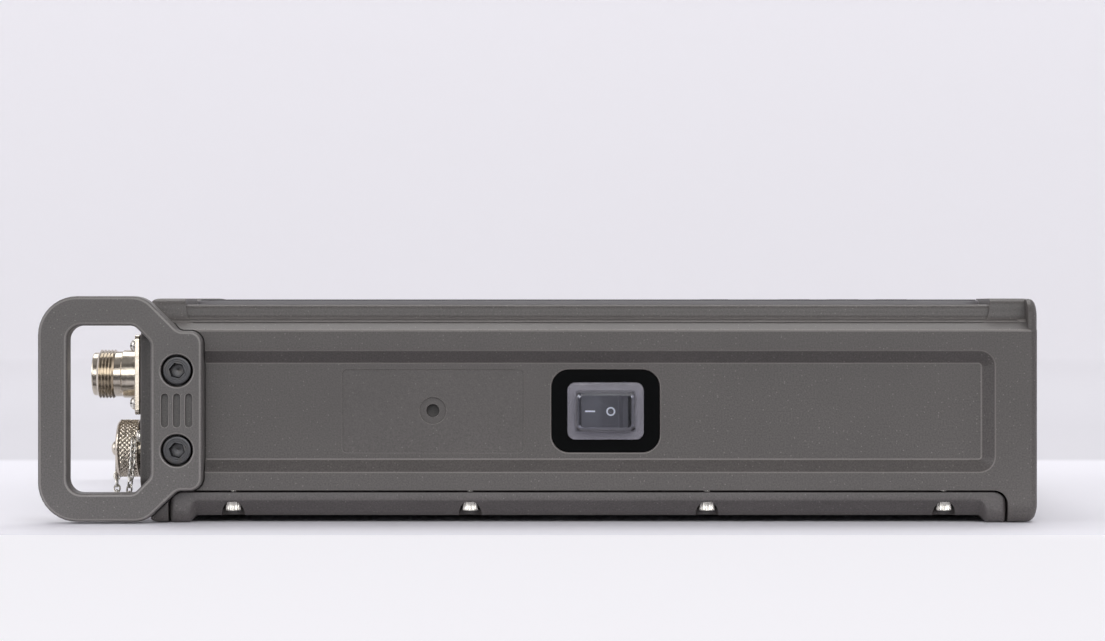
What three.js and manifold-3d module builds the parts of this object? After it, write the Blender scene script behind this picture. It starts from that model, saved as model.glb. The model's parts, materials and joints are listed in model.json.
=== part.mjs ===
// Portable two-port vector network analyzer, lying on its back cover with the front panel up.
// Millimetres. +X runs from the connector end to the foot end, -Y is the long side that carries
// the power switch, +Z is the front panel's outward direction. The origin is the centre of the
// footprint, at the level of the surface that the instrument rests on.
import * as THREE from 'three';
import { mergeVertices } from 'three/addons/utils/BufferGeometryUtils.js';
import Module from 'manifold-3d';

const wasm = await Module();
wasm.setup();

// Driving dimensions of the cast housing.
const BODY = { left: -123, right: 156, half: 116, top: 70.2, base: 0.3 };
const SIDE = { bottom: 10.2, top: 60.3 };          // flat band of the long sides
const LEDGE = 68.3;                                 // rim around the front panel, between the bumpers
const STEP = 62.6;                                  // foot of the rim, where the shoulder starts
const BUMPER = { left: -110, right: 137.5, across: 78, foot: 1.4, knee: 66, flare: 2.4 };
const CAVITY = { left: -116, right: 150, half: 107, floor: 12.5, roof: 60 };
const MOUTH = { left: -108.5, right: 139, half: 106.5, corner: 9.5, bottom: 5 };
const WINDOW = { left: -98, right: 130, half: 96 };
const RECESS = { left: -108.8, right: 142.5, bottom: 16, top: 53.7, depth: 3, slope: 3.7, corner: 3.9 };
const LABEL = { left: -61.7, right: -4.8, bottom: 21.8, top: 47.9, depth: 0.3 };
const SIDE_HOLE = { x: -33.3, z: 35, bore: 2.05, rim: 4.2, rimDepth: 1.1, end: -108 };
const BOSS = { front: -105, inner: 98, outer: 110 };  // metal left in the cavity for the handle screws
const GAP = 0.4;                                    // working clearance between separate pieces
const BEYOND = 130;                                 // end of a side cutter, well outside the part

// Front panel, glass and keys.
const PANEL = { left: -108.5, right: 139.6, half: 106.5, bottom: 66.9, top: 69.9, corner: 6 };
const SEAT_GAP = 0.3;                               // around the panel in the rim and the glass in it
const GLASS = { left: -100, right: 42, half: 93, thick: 1.8, sunk: 0.2, corner: 4 };
const VIEW = { left: -94, right: 36, half: 87 };
const DISPLAY = { left: -95, right: 37, half: 88, bottom: 60.9, top: 66.3 };
const MAT = { left: 48, right: 128, half: 90, bottom: 63.9, top: 64.7 };
const KEY = { bottom: 65.7, flange: 66.5, top: 70.1, lip: 0.8, corner: 2.5, gap: 0.35 };
const SOFT_KEY = { x: 57, size: [10, 22], pitch: 28, count: 6 };
const MENU_KEY = { x: [84, 100, 116], y: -58, size: [11, 26] };
const NAV = { x: 100, y: 40, along: 17, across: 19, tall: [12, 18], wide: [18, 12], enter: [13, 13] };

// Back cover.
const COVER = {
  left: -115.5, right: 146.2, half: 115.2, top: 9.7, waist: 6.8, under: 2.1, lean: 3.8, corner: 4, gap: 0.45,
};
const FOOT = { length: 6.6, inset: 2, rise: 2.6 };  // the two end rails that it rests on
const TRAY = { left: -108, right: 138.5, half: 104, floor: 5.1 };
const COVER_SCREW = {
  x: [-95.9, -21.6, 52.7, 127], y: 111.4, bore: 3.6, seat: 6.9, hole: 1.8,
  head: 2.75, headLow: 3.66, headHigh: 6.66, shank: 1.5, end: 16, drive: 1.45, driveDepth: 1.3,
};
const GASKET = { left: -110.6, right: 141.4, half: 107.9, width: 1.4, bottom: 8.3, top: 9.9, slack: 0.3 };

// Loop handles, one on each long side.
const HANDLE = { left: -156, face: 120, thick: 8, top: 70.9, bottom: 0.6 };
const HANDLE_EDGE = 0.7;
const GROOVE = { spacing: 3.75, half: 1.1, bottom: 29.9, top: 40.4, depth: 1.5 };
const HANDLE_SCREW = {
  x: -112.7, z: [22.9, 47.7], bore: 5, boreDepth: 5.4, hole: 2.8,
  head: 4.45, headHeight: 4.7, sunk: 0.4, shank: 2.5, end: 100, drive: 2.3, driveDepth: 2.5,
};

// Connector end.
const PORT_Y = -89;
const PORT_Z = [46, 22.1];
const PORT_BORE = 4.3;
const END_PLATE = {
  outer: -126.6, inner: -123.3, near: -102, far: 96, bottom: 9, top: 60.5, corner: 4, clear: 7,
};
const THREAD = 7.64;                                // mean radius of the 5/8 inch port thread
const FLANGE = { outer: -128.4, inner: -126.9, half: 12.7, corner: 1.5, screw: 9.13 };
const SMALL_SCREW = { head: 2, shank: 0.85, end: -123.6, hole: 1.2 };
const CAP = { front: -135.3, rear: -127.9, radius: 9.3, inside: 7.1, crown: 1.6 };
const TAB_EYE = { z: 13.8, radius: 0.8 };
const CHAIN_RADIUS = 0.8;
const CHAIN_SCREW = { y: -99.8, z: 26.4 };
const DOOR = { y: [14, 76], z: [17, 43], outer: -126.4, inner: -124.4 };
const SOCKETS = { outer: -122.4, inner: -112.6, bottom: -114 };

// Power switch in the long side.
const SWITCH = {
  x: 20.9, z: 34.9, pocket: [34, 26], pocketCorner: 5.6, pocketEnd: -100,
  boot: [24, 18], rocker: [15.8, 10.7], body: [19.2, 13.2],
};

// Electronics.
const BOARD = { left: -100, right: 138, half: 98, bottom: 55, top: 56.6 };
const MODULE = { left: -96, right: -14, near: -76, far: 96, bottom: 18, top: 50, lid: 1.4, lidInset: 4 };
const BATTERY = { left: -6, right: 138, half: 74, bottom: 14.5, top: 44, corner: 6 };
const COAX_RADIUS = 1.6;

const group = new THREE.Group();

// --- small geometry tools ----------------------------------------------------------------------

function solid(geometry) {
  const bare = geometry.clone();
  bare.deleteAttribute('normal');
  bare.deleteAttribute('uv');
  const merged = mergeVertices(bare, 1e-4);
  return new wasm.Manifold(new wasm.Mesh({
    numProp: 3,
    vertProperties: new Float32Array(merged.attributes.position.array),
    triVerts: new Uint32Array(merged.index.array),
  }));
}

function add(name, body, color, roughness = 0.5, metalness = 0) {
  const { vertProperties, triVerts } = body.getMesh();
  const geometry = new THREE.BufferGeometry();
  geometry.setAttribute('position', new THREE.BufferAttribute(new Float32Array(vertProperties), 3));
  geometry.setIndex(new THREE.BufferAttribute(new Uint32Array(triVerts), 1));
  geometry.computeVertexNormals();
  const mesh = new THREE.Mesh(geometry, new THREE.MeshStandardMaterial({ color, roughness, metalness }));
  mesh.name = name;
  group.add(mesh);
}

// Outline through corners [x, y, radius], with a true arc at each rounded corner.
function outline(corners, ShapeClass = THREE.Shape) {
  const path = new ShapeClass();
  corners.forEach(([x, y, radius], i) => {
    const corner = new THREE.Vector2(x, y);
    if (!radius) {
      if (i === 0) path.moveTo(x, y);
      else path.lineTo(x, y);
      return;
    }
    const [bx, by] = corners.at(i - 1);
    const [ax, ay] = corners[(i + 1) % corners.length];
    const before = new THREE.Vector2(bx, by).sub(corner).normalize();
    const after = new THREE.Vector2(ax, ay).sub(corner).normalize();
    const half = Math.acos(THREE.MathUtils.clamp(before.dot(after), -1, 1)) / 2;
    const centre = before.clone().add(after).normalize().multiplyScalar(radius / Math.sin(half)).add(corner);
    const start = before.clone().multiplyScalar(radius / Math.tan(half)).add(corner).sub(centre);
    const end = after.clone().multiplyScalar(radius / Math.tan(half)).add(corner).sub(centre);
    const clockwise = before.cross(after) > 0;
    if (i === 0) path.moveTo(centre.x + start.x, centre.y + start.y);
    const from = Math.atan2(start.y, start.x);
    const to = Math.atan2(end.y, end.x);
    path.absarc(centre.x, centre.y, radius, from, to, clockwise);
  });
  path.closePath();
  return path;
}

function rectangle(x0, x1, y0, y1, radius = 0, ShapeClass = THREE.Shape) {
  return outline([[x0, y0, radius], [x1, y0, radius], [x1, y1, radius], [x0, y1, radius]], ShapeClass);
}

// Rectangle of a size about a centre, or of a part's own limits, widened by grow.
function centred(x, y, [width, height], radius, grow = 0) {
  const w = width / 2 + grow;
  const h = height / 2 + grow;
  return rectangle(x - w, x + w, y - h, y + h, radius + grow);
}

function around({ left, right, half }, radius, grow = 0, ShapeClass = THREE.Shape) {
  return rectangle(left - grow, right + grow, -half - grow, half + grow, radius, ShapeClass);
}

// Prism of an outline drawn in X and Y, from z0 up to z1.
function plate(shape, z0, z1, segments = 2) {
  const geometry = new THREE.ExtrudeGeometry(shape, {
    depth: z1 - z0, bevelEnabled: false, curveSegments: segments,
  });
  return solid(geometry.translate(0, 0, z0));
}

// Prism of an outline drawn in X and Z, from y0 to y1; chamfer breaks its edges, grow widens it.
function sidePlate(shape, y0, y1, { segments = 2, chamfer = 0, grow = 0 } = {}) {
  const bevel = chamfer || (grow ? 0.1 : 0);
  const geometry = new THREE.ExtrudeGeometry(shape, {
    depth: y1 - y0 - 2 * bevel,
    bevelEnabled: bevel > 0,
    bevelThickness: bevel,
    bevelSize: chamfer || grow,
    bevelOffset: chamfer ? -chamfer : 0,
    bevelSegments: 1,
    curveSegments: segments,
  });
  return solid(geometry.rotateX(Math.PI / 2).translate(0, y1 - bevel, 0));
}

// Prism of an outline drawn in Y and Z, from x0 to x1.
function endPlate(shape, x0, x1, segments = 2) {
  const geometry = new THREE.ExtrudeGeometry(shape, {
    depth: x1 - x0, bevelEnabled: false, curveSegments: segments,
  });
  return solid(geometry.rotateX(Math.PI / 2).rotateZ(Math.PI / 2).translate(x0, 0, 0));
}

function box(x0, x1, y0, y1, z0, z1) {
  const geometry = new THREE.BoxGeometry(x1 - x0, y1 - y0, z1 - z0);
  return solid(geometry.translate((x0 + x1) / 2, (y0 + y1) / 2, (z0 + z1) / 2));
}

function rodX(radius, x0, x1, y, z, sides = 20) {
  const geometry = new THREE.CylinderGeometry(radius, radius, x1 - x0, sides);
  return solid(geometry.rotateZ(Math.PI / 2).translate((x0 + x1) / 2, y, z));
}

function rodY(radius, y0, y1, x, z, sides = 20) {
  const geometry = new THREE.CylinderGeometry(radius, radius, y1 - y0, sides);
  return solid(geometry.translate(x, (y0 + y1) / 2, z));
}

function rodZ(radius, z0, z1, x, y, sides = 20) {
  const geometry = new THREE.CylinderGeometry(radius, radius, z1 - z0, sides);
  return solid(geometry.rotateX(Math.PI / 2).translate(x, y, (z0 + z1) / 2));
}

// Turned piece with its axis along X: profile of [x, radius] from one end on the axis to the other.
function turnedX(profile, y, z, sides = 20) {
  const points = profile.map(([x, radius]) => new THREE.Vector2(radius, x));
  const geometry = new THREE.LatheGeometry(points, sides).rotateZ(-Math.PI / 2);
  return solid(geometry.translate(0, y, z));
}

// Block made of rounded rectangles stacked along Z: levels of [z, inset in X, inset in Y].
function stack(levels, radius) {
  const ARC = 4;
  const rings = levels.map(([z, insetX, insetY]) => {
    const r = Math.max(radius - Math.min(insetX, insetY), 1);
    const x = { low: BODY.left + insetX + r, high: BODY.right - insetX - r };
    const y = BODY.half - insetY - r;
    const centres = [[x.high, y], [x.low, y], [x.low, -y], [x.high, -y]];
    return centres.flatMap(([cx, cy], corner) => Array.from({ length: ARC + 1 }, (_, i) => {
      const angle = (corner + i / ARC) * Math.PI / 2;
      return [cx + r * Math.cos(angle), cy + r * Math.sin(angle), z];
    }));
  });
  const count = rings[0].length;
  const positions = rings.flat(2);
  const index = [];
  for (let level = 0; level < rings.length - 1; level += 1) {
    for (let i = 0; i < count; i += 1) {
      const next = (i + 1) % count;
      const low = level * count;
      const high = low + count;
      index.push(low + i, low + next, high + next, low + i, high + next, high + i);
    }
  }
  const topRing = (rings.length - 1) * count;
  for (let i = 1; i < count - 1; i += 1) {
    index.push(0, i + 1, i, topRing, topRing + i, topRing + i + 1);
  }
  const geometry = new THREE.BufferGeometry();
  geometry.setAttribute('position', new THREE.Float32BufferAttribute(positions, 3));
  geometry.setIndex(index);
  return solid(geometry);
}

const union = (pieces) => pieces.reduce((whole, piece) => whole.add(piece));
const without = (body, cutters) => cutters.reduce((rest, cutter) => rest.subtract(cutter), body);
const mirrored = (body) => body.mirror([0, 1, 0]);

// --- handle outline, shared by the plates and by the seats cut for them ------------------------

const handleOutline = () => outline([
  [HANDLE.left, HANDLE.bottom, 12.2],
  [-122.6, HANDLE.bottom, 8],
  [-112.5, 10.2, 3.5],
  [-104.8, 10.2, 4],
  [-104.8, 60.1, 4],
  [-112.2, 60.1, 3.5],
  [-123, HANDLE.top, 9],
  [HANDLE.left, HANDLE.top, 12.2],
]);

const handleOpening = () => outline([
  [-146.8, 9.5, 4.4],
  [-126, 9.5, 3],
  [-120.9, 14.6, 3],
  [-120.9, 56.6, 3],
  [-126, 61.7, 3],
  [-146.8, 61.7, 4.4],
], THREE.Path);

// --- main housing ------------------------------------------------------------------------------

// Tall corner blocks: foot rounding, flat side, shoulder, concave flare and rounded crown.
function bumperBlock() {
  return stack([
    [BODY.base, 3.2, 2.2],
    [1.2, 1.7, 1.0],
    [2.9, 0.6, 0.3],
    [6, 0, 0],
    [SIDE.top, 0, 0],
    [61.6, 0.1, 2.2],
    [63, 0.1, 4.2],
    [64.6, 0.15, 5.6],
    [66.6, 0.3, 6.3],
    [68.2, 0.9, 6.6],
    [69.5, 1.9, 7.4],
    [BODY.top, 3.3, 9],
  ], 3.5);
}

// Lower rim between the corner blocks, set back behind a small step.
function rimBlock() {
  return stack([
    [55, 5, 5.6],
    [63.4, 5, 5.6],
    [64.2, 5.4, 6.6],
    [65.4, 5.6, 7.1],
    [66.8, 5.9, 7.3],
    [67.6, 6.3, 7.8],
    [LEDGE, 7.4, 9],
  ], 4);
}

// Cutter that leaves the crown only at the four corners.
function crownCutter() {
  const high = BODY.top + 1;
  const { left, right, across, foot, knee, flare } = BUMPER;
  const span = (low, far) => outline([
    [low + foot, STEP, 1.5], [far - foot, STEP, 1.5], [far, knee, 0],
    [far + flare, high, 0], [low - flare, high, 0], [low, knee, 0],
  ]);
  return sidePlate(span(left, right), -BEYOND, BEYOND, { segments: 1 })
    .add(endPlate(span(-across, across), -180, 180, 1));
}

// Shallow tray in each long side, with slanted walls.
function recessCutter() {
  const shape = rectangle(RECESS.left, RECESS.right, RECESS.bottom, RECESS.top, RECESS.corner);
  const geometry = new THREE.ExtrudeGeometry(shape, {
    depth: 5,
    bevelEnabled: true,
    bevelThickness: RECESS.depth,
    bevelSize: RECESS.slope,
    bevelOffset: -RECESS.slope,
    bevelSegments: 1,
    curveSegments: 2,
  });
  return solid(geometry.rotateX(Math.PI / 2).translate(0, -BODY.half, 0));
}

function coverOpening(grow, z1) {
  const left = COVER.left - grow;
  const right = COVER.right + grow;
  return outline([
    [left, -5, 0], [right, -5, 0], [right, z1, COVER.corner + grow], [left, z1, COVER.corner + grow],
  ]);
}

function cavity() {
  const open = box(CAVITY.left, CAVITY.right, -CAVITY.half, CAVITY.half, CAVITY.floor, CAVITY.roof);
  const boss = box(CAVITY.left - 1, BOSS.front, -BOSS.outer, -BOSS.inner, 0, BODY.top);
  const { left, right, half, corner, bottom } = MOUTH;
  return without(open, [boss, mirrored(boss)])
    .add(box(left, right, -half + corner, half - corner, bottom, CAVITY.floor + 1))
    .add(box(left + 4.5, right, -half, half, bottom, CAVITY.floor + 1));
}

function handleSeats() {
  const depth = -HANDLE.face + HANDLE.thick + GAP;
  const seat = sidePlate(handleOutline(), -BEYOND, depth, { grow: GAP, segments: 3 });
  return [seat, mirrored(seat)];
}

function housing() {
  const crown = bumperBlock().subtract(crownCutter());
  const shell = crown.add(rimBlock());
  const screwHoles = COVER_SCREW.x.flatMap((x) => [1, -1].map(
    (side) => rodZ(COVER_SCREW.hole, MOUTH.bottom, COVER_SCREW.end + 1, x, side * COVER_SCREW.y, 12),
  ));
  const handleHoles = HANDLE_SCREW.z.flatMap((z) => [-1, 1].map((side) => {
    const ends = [side * (HANDLE_SCREW.end - 0.5), side * BODY.half].sort((a, b) => a - b);
    return rodY(HANDLE_SCREW.hole, ...ends, HANDLE_SCREW.x, z, 16);
  }));
  const portHoles = PORT_Z.map((z) => rodX(END_PLATE.clear + 0.2, BODY.left - 2, CAVITY.left + 2, PORT_Y, z));
  const pocket = centred(SWITCH.x, SWITCH.z, SWITCH.pocket, SWITCH.pocketCorner);
  const floor = -BODY.half + RECESS.depth;
  const { x: holeX, z: holeZ } = SIDE_HOLE;
  return without(shell, [
    recessCutter(),
    mirrored(recessCutter()),
    sidePlate(coverOpening(COVER.gap, SIDE.bottom), -BEYOND, BEYOND),
    cavity(),
    plate(around(WINDOW, 3), CAVITY.roof - 1, BODY.top + 5, 1),
    plate(around(PANEL, PANEL.corner, SEAT_GAP), PANEL.bottom - SEAT_GAP, BODY.top + 5),
    ...handleSeats(),
    ...screwHoles,
    ...handleHoles,
    ...portHoles,
    sidePlate(pocket, -BEYOND, SWITCH.pocketEnd),
    sidePlate(rectangle(LABEL.left, LABEL.right, LABEL.bottom, LABEL.top, 1.2), -BEYOND, floor + LABEL.depth),
    rodY(SIDE_HOLE.rim, -BEYOND, floor + SIDE_HOLE.rimDepth, holeX, holeZ),
    rodY(SIDE_HOLE.bore, -BEYOND, SIDE_HOLE.end, holeX, holeZ, 16),
    box(BODY.left - 1, SOCKETS.inner + 0.6, DOOR.y[0] - 1, DOOR.y[1] + 1, DOOR.z[0] - 2, DOOR.z[1] + 1),
  ]);
}

add('main_housing', housing(), 0x5d5a5a, 0.62, 0.35);

// --- back cover, its gasket and its screws -----------------------------------------------------

function backCover() {
  const { left, right, half: y, top, waist, under, lean } = COVER;
  const middle = endPlate(outline([
    [-y + lean, under, 0], [y - lean, under, 0], [y, waist, 0], [y, top, 0], [-y, top, 0], [-y, waist, 0],
  ]), left, right);
  const rail = outline([
    [-y + FOOT.inset, 0, 0], [y - FOOT.inset, 0, 0], [y, FOOT.rise, 0],
    [y, top, 0], [-y, top, 0], [-y, FOOT.rise, 0],
  ]);
  const body = union([
    middle,
    endPlate(rail, left, left + FOOT.length),
    endPlate(rail, right - FOOT.length, right),
  ]).intersect(sidePlate(coverOpening(0, top), -BEYOND, BEYOND));
  const bores = COVER_SCREW.x.flatMap((x) => [1, -1].flatMap((side) => [
    rodZ(COVER_SCREW.bore, -1, COVER_SCREW.seat, x, side * COVER_SCREW.y, 16),
    rodZ(COVER_SCREW.hole, COVER_SCREW.seat - 1, top + 1, x, side * COVER_SCREW.y, 12),
  ]));
  return without(body, [
    ...bores,
    ...handleSeats(),
    box(TRAY.left, TRAY.right, -TRAY.half, TRAY.half, TRAY.floor, top + 2),
    gasketRing(GASKET.slack, GASKET.bottom - GASKET.slack, top + 2),
  ]);
}

// Ring of the gasket's line, its section widened on each side by grow.
function gasketRing(grow, z0, z1) {
  const halfWidth = GASKET.width / 2 + grow;
  const ring = around(GASKET, 4, halfWidth);
  ring.holes.push(around(GASKET, 3, -halfWidth, THREE.Path));
  return plate(ring, z0, z1, 1);
}

// Socket head screw with its axis along Z, head down.
function coverScrew(x, y) {
  const { head, headLow, headHigh, shank, end, drive, driveDepth } = COVER_SCREW;
  const body = rodZ(head, headLow, headHigh, x, y, 16).add(rodZ(shank, headHigh - 0.1, end, x, y, 8));
  return body.subtract(rodZ(drive, headLow - 1, headLow + driveDepth, x, y, 6));
}

add('back_cover', backCover(), 0x575455, 0.62, 0.3);
add('cover_gasket', gasketRing(0, GASKET.bottom, GASKET.top), 0x1a1a1a, 0.8);
[-1, 1].forEach((side, row) => COVER_SCREW.x.forEach((x, i) => {
  add(`cover_screw_${row * COVER_SCREW.x.length + i + 1}`, coverScrew(x, side * COVER_SCREW.y),
    0xc9c7c4, 0.25, 0.9);
}));

// --- loop handles and their screws -------------------------------------------------------------

function handlePlate() {
  const shape = handleOutline();
  shape.holes.push(handleOpening());
  const face = -HANDLE.face;
  const body = sidePlate(shape, face, face + HANDLE.thick, { chamfer: HANDLE_EDGE, segments: 3 });
  const screws = HANDLE_SCREW.z.flatMap((z) => [
    rodY(HANDLE_SCREW.bore, -BEYOND, face + HANDLE_SCREW.boreDepth, HANDLE_SCREW.x, z),
    rodY(HANDLE_SCREW.hole, -BEYOND, face + HANDLE.thick + 1, HANDLE_SCREW.x, z, 16),
  ]);
  const grooves = [-1, 0, 1].map((step) => {
    const x = HANDLE_SCREW.x + step * GROOVE.spacing;
    const slot = rectangle(x - GROOVE.half, x + GROOVE.half, GROOVE.bottom, GROOVE.top, GROOVE.half - 0.05);
    return sidePlate(slot, -BEYOND, face + GROOVE.depth);
  });
  return without(body, [...screws, ...grooves]);
}

function handleScrew(z) {
  const { x, head, headHeight, sunk, shank, end, drive, driveDepth } = HANDLE_SCREW;
  const face = -HANDLE.face + sunk;
  const body = rodY(head, face, face + headHeight, x, z)
    .add(rodY(shank, face + headHeight - 0.1, -end, x, z, 16));
  return body.subtract(rodY(drive, -BEYOND, face + driveDepth, x, z, 6));
}

add('handle_left', handlePlate(), 0x676665, 0.55, 0.4);
add('handle_right', mirrored(handlePlate()), 0x676665, 0.55, 0.4);
HANDLE_SCREW.z.forEach((z, i) => {
  add(`handle_screw_${i + 1}`, handleScrew(z), 0x1c1c1e, 0.4, 0.6);
  add(`handle_screw_${i + 3}`, mirrored(handleScrew(z)), 0x1c1c1e, 0.4, 0.6);
});

// --- front panel, glass, display and keys ------------------------------------------------------

const keys = [];
for (let i = 0; i < SOFT_KEY.count; i += 1) {
  const y = (i - (SOFT_KEY.count - 1) / 2) * SOFT_KEY.pitch;
  keys.push({ name: `soft_key_${i + 1}`, x: SOFT_KEY.x, y, size: SOFT_KEY.size });
}
MENU_KEY.x.forEach((x, i) => {
  keys.push({ name: `menu_key_${i + 1}`, x, y: MENU_KEY.y, size: MENU_KEY.size });
});
keys.push({ name: 'key_up', x: NAV.x - NAV.along, y: NAV.y, size: NAV.tall });
keys.push({ name: 'key_down', x: NAV.x + NAV.along, y: NAV.y, size: NAV.tall });
keys.push({ name: 'key_left', x: NAV.x, y: NAV.y - NAV.across, size: NAV.wide });
keys.push({ name: 'key_right', x: NAV.x, y: NAV.y + NAV.across, size: NAV.wide });
keys.push({ name: 'key_enter', x: NAV.x, y: NAV.y, size: NAV.enter });

const keyOutline = (key, grow) => centred(key.x, key.y, key.size, KEY.corner, grow);

function frontPanel() {
  const body = plate(around(PANEL, PANEL.corner), PANEL.bottom, PANEL.top);
  const seatFloor = PANEL.top - GLASS.thick - GLASS.sunk - SEAT_GAP;
  const glassSeat = plate(around(GLASS, GLASS.corner, SEAT_GAP), seatFloor, PANEL.top + 5);
  const view = plate(around(VIEW, 2), PANEL.bottom - 5, PANEL.top + 5, 1);
  const holes = keys.map((key) => plate(keyOutline(key, KEY.gap), PANEL.bottom - 5, PANEL.top + 5, 1));
  return without(body, [glassSeat, view, ...holes]);
}

function keycap(key) {
  return plate(keyOutline(key, KEY.lip), KEY.bottom, KEY.flange, 1)
    .add(plate(keyOutline(key, 0), KEY.flange - 0.1, KEY.top, 1));
}

add('front_panel', frontPanel(), 0x2a2a2c, 0.5);
const glassTop = PANEL.top - GLASS.sunk;
add('touch_glass', plate(around(GLASS, GLASS.corner - SEAT_GAP), glassTop - GLASS.thick, glassTop),
  0x0b0c0f, 0.08);
add('lcd_module', box(DISPLAY.left, DISPLAY.right, -DISPLAY.half, DISPLAY.half, DISPLAY.bottom, DISPLAY.top),
  0x8a8d92, 0.4, 0.6);
add('keypad_mat', plate(around(MAT, 3), MAT.bottom, MAT.top), 0x3a3a3c, 0.8);
for (const key of keys) {
  add(key.name, keycap(key), key.name.startsWith('soft') ? 0x8b8d90 : 0x4a4b4e, 0.7);
}

// --- connector end -----------------------------------------------------------------------------

const flangeHoles = [-1, 1].flatMap((a) => [-1, 1].map(
  (b) => [PORT_Y + a * FLANGE.screw, PORT_Z[0] + b * FLANGE.screw],
));

function connectorPanel() {
  const { outer, inner, near, far, bottom, top, corner, clear } = END_PLATE;
  const [from, to] = [outer - 3, inner + 3];
  const body = endPlate(rectangle(near, far, bottom, top, corner), outer, inner);
  const ports = PORT_Z.map((z) => rodX(clear, from, to, PORT_Y, z));
  const doorway = endPlate(
    rectangle(DOOR.y[0] - GAP, DOOR.y[1] + GAP, DOOR.z[0] - GAP, DOOR.z[1] + GAP, 2), from, to,
  );
  const screws = [...flangeHoles, [CHAIN_SCREW.y, CHAIN_SCREW.z]].map(
    ([y, z]) => rodX(SMALL_SCREW.hole, from, to, y, z, 10),
  );
  return without(body, [...ports, doorway, ...screws]);
}

// Socket of the screw-on type: tip, thread, neck, barrel, square flange and rear tail.
function portOne() {
  const z = PORT_Z[0];
  const body = turnedX([
    [-143.2, 0], [-143.2, 6.4], [-142.8, 6.9], [-141, 6.9], [-140.6, THREAD], [-136.4, THREAD],
    [-136, 7.25], [-133.8, 7.25], [-133.6, 7.7], [-128.3, 7.7], [-128.3, 6.6], [-113, 6.6], [-113, 2.4],
    [-110, 2.4], [-110, 0],
  ], PORT_Y, z, 24);
  const { outer, inner, half, corner } = FLANGE;
  const square = rectangle(PORT_Y - half, PORT_Y + half, z - half, z + half, corner);
  const holes = flangeHoles.map(([y, height]) => rodX(1.6, outer - 1, inner + 1, y, height, 10));
  return without(body.add(endPlate(square, outer, inner, 3)), [
    rodX(PORT_BORE, -145, -134, PORT_Y, z, 20),
    ...holes,
  ]);
}

// Low socket whose flange sits behind the end plate, so only its thread stands out.
function portTwo() {
  const body = turnedX([
    [-133.2, 0], [-133.2, 6.4], [-132.8, 6.7], [-127.2, 6.7], [-113, 6.7], [-113, 2.4], [-110, 2.4],
    [-110, 0],
  ], PORT_Y, PORT_Z[1]);
  return body.subtract(rodX(PORT_BORE, -145, -125, PORT_Y, PORT_Z[1], 20));
}

function contact(x0, x1, z) {
  return turnedX([[x0, 0], [x0, 1.3], [x1 - 1, 1.3], [x1 - 1, 3.7], [x1, 3.7], [x1, 0]], PORT_Y, z, 16);
}

add('connector_panel', connectorPanel(), 0x5f5d5c, 0.55, 0.4);
add('port1_connector', portOne(), 0xcfc6b8, 0.2, 1);
add('port2_connector', portTwo(), 0xcfc6b8, 0.2, 1);
add('port1_contact', contact(-142, -134.4, PORT_Z[0]), 0xc9a24a, 0.3, 1);
add('port2_contact', contact(-132, -125.4, PORT_Z[1]), 0xc9a24a, 0.3, 1);

// Pan head screw whose head sits on a face at x.
function smallScrew(x, y, z) {
  const { head, shank, end } = SMALL_SCREW;
  return turnedX([
    [x - 1.5, 0], [x - 1.5, head / 2], [x - 1.1, head - 0.1], [x, head], [x, shank], [end, shank], [end, 0],
  ], y, z, 10);
}

flangeHoles.forEach(([y, z], i) => {
  add(`port1_screw_${i + 1}`, smallScrew(FLANGE.outer - 0.3, y, z), 0xd4d2ce, 0.25, 1);
});
add('port2_nut', rodX(9, -113.6, -111.6, PORT_Y, PORT_Z[1], 6)
  .subtract(rodX(7, -120, -110, PORT_Y, PORT_Z[1])), 0xcfc6b8, 0.3, 1);

// --- dust cap on port two, with its swivel tab and chain ---------------------------------------

function capShell() {
  const z = PORT_Z[1];
  const shell = turnedX([
    [CAP.front, 0], [CAP.front, 8.6], [CAP.front + 0.8, CAP.radius], [CAP.rear - 0.3, CAP.radius],
    [CAP.rear, 9], [CAP.rear, 0],
  ], PORT_Y, z, 24);
  return without(shell, [
    rodX(CAP.inside, CAP.front + CAP.crown, CAP.rear + 5, PORT_Y, z, 24),
    rodX(1.5, CAP.front - 5, CAP.front + 5, PORT_Y, z, 12),
  ]);
}

function capSwivel() {
  const z = PORT_Z[1];
  const tab = endPlate(outline([
    [PORT_Y - 1.6, 12.2, 1.2], [PORT_Y + 1.6, 12.2, 1.2], [PORT_Y + 2.4, z + 2.4, 2],
    [PORT_Y - 2.4, z + 2.4, 2],
  ]), CAP.front - 0.9, CAP.front - 0.3);
  const rivet = turnedX([
    [-137.6, 0], [-137.5, 1.1], [-137, 2], [-136.2, 2.4], [-135.7, 2.4], [-135.7, 1.1], [-133.9, 1.1],
    [-133.9, 0],
  ], PORT_Y, z, 12);
  return tab.add(rivet).subtract(rodX(TAB_EYE.radius, CAP.front - 5, CAP.front, PORT_Y, TAB_EYE.z, 8));
}

function chain() {
  const route = new THREE.CatmullRomCurve3([
    [-136, PORT_Y, 11.6], [-135.6, -91, 8.6], [-134.2, -95, 6.4], [-132.2, -99.5, 6.2],
    [-130.3, -101.6, 9], [-129.4, -102.6, 14.5], [-129, -102.4, 19.5], [-128.9, -101.2, 23.4],
  ].map(([x, y, z]) => new THREE.Vector3(x, y, z)));
  const section = new THREE.Shape().absarc(0, 0, CHAIN_RADIUS, 0, Math.PI * 2);
  return solid(new THREE.ExtrudeGeometry(section, { steps: 18, curveSegments: 4, extrudePath: route }));
}

add('dust_cap_shell', capShell(), 0xcdc5b9, 0.3, 1);
add('dust_cap_swivel', capSwivel(), 0xd6d2ca, 0.25, 1);
add('dust_cap_chain', chain(), 0xd2cfca, 0.3, 1);
add('chain_screw', smallScrew(END_PLATE.outer - 0.2, CHAIN_SCREW.y, CHAIN_SCREW.z), 0xd4d2ce, 0.25, 1);

// --- power switch ------------------------------------------------------------------------------

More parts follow.
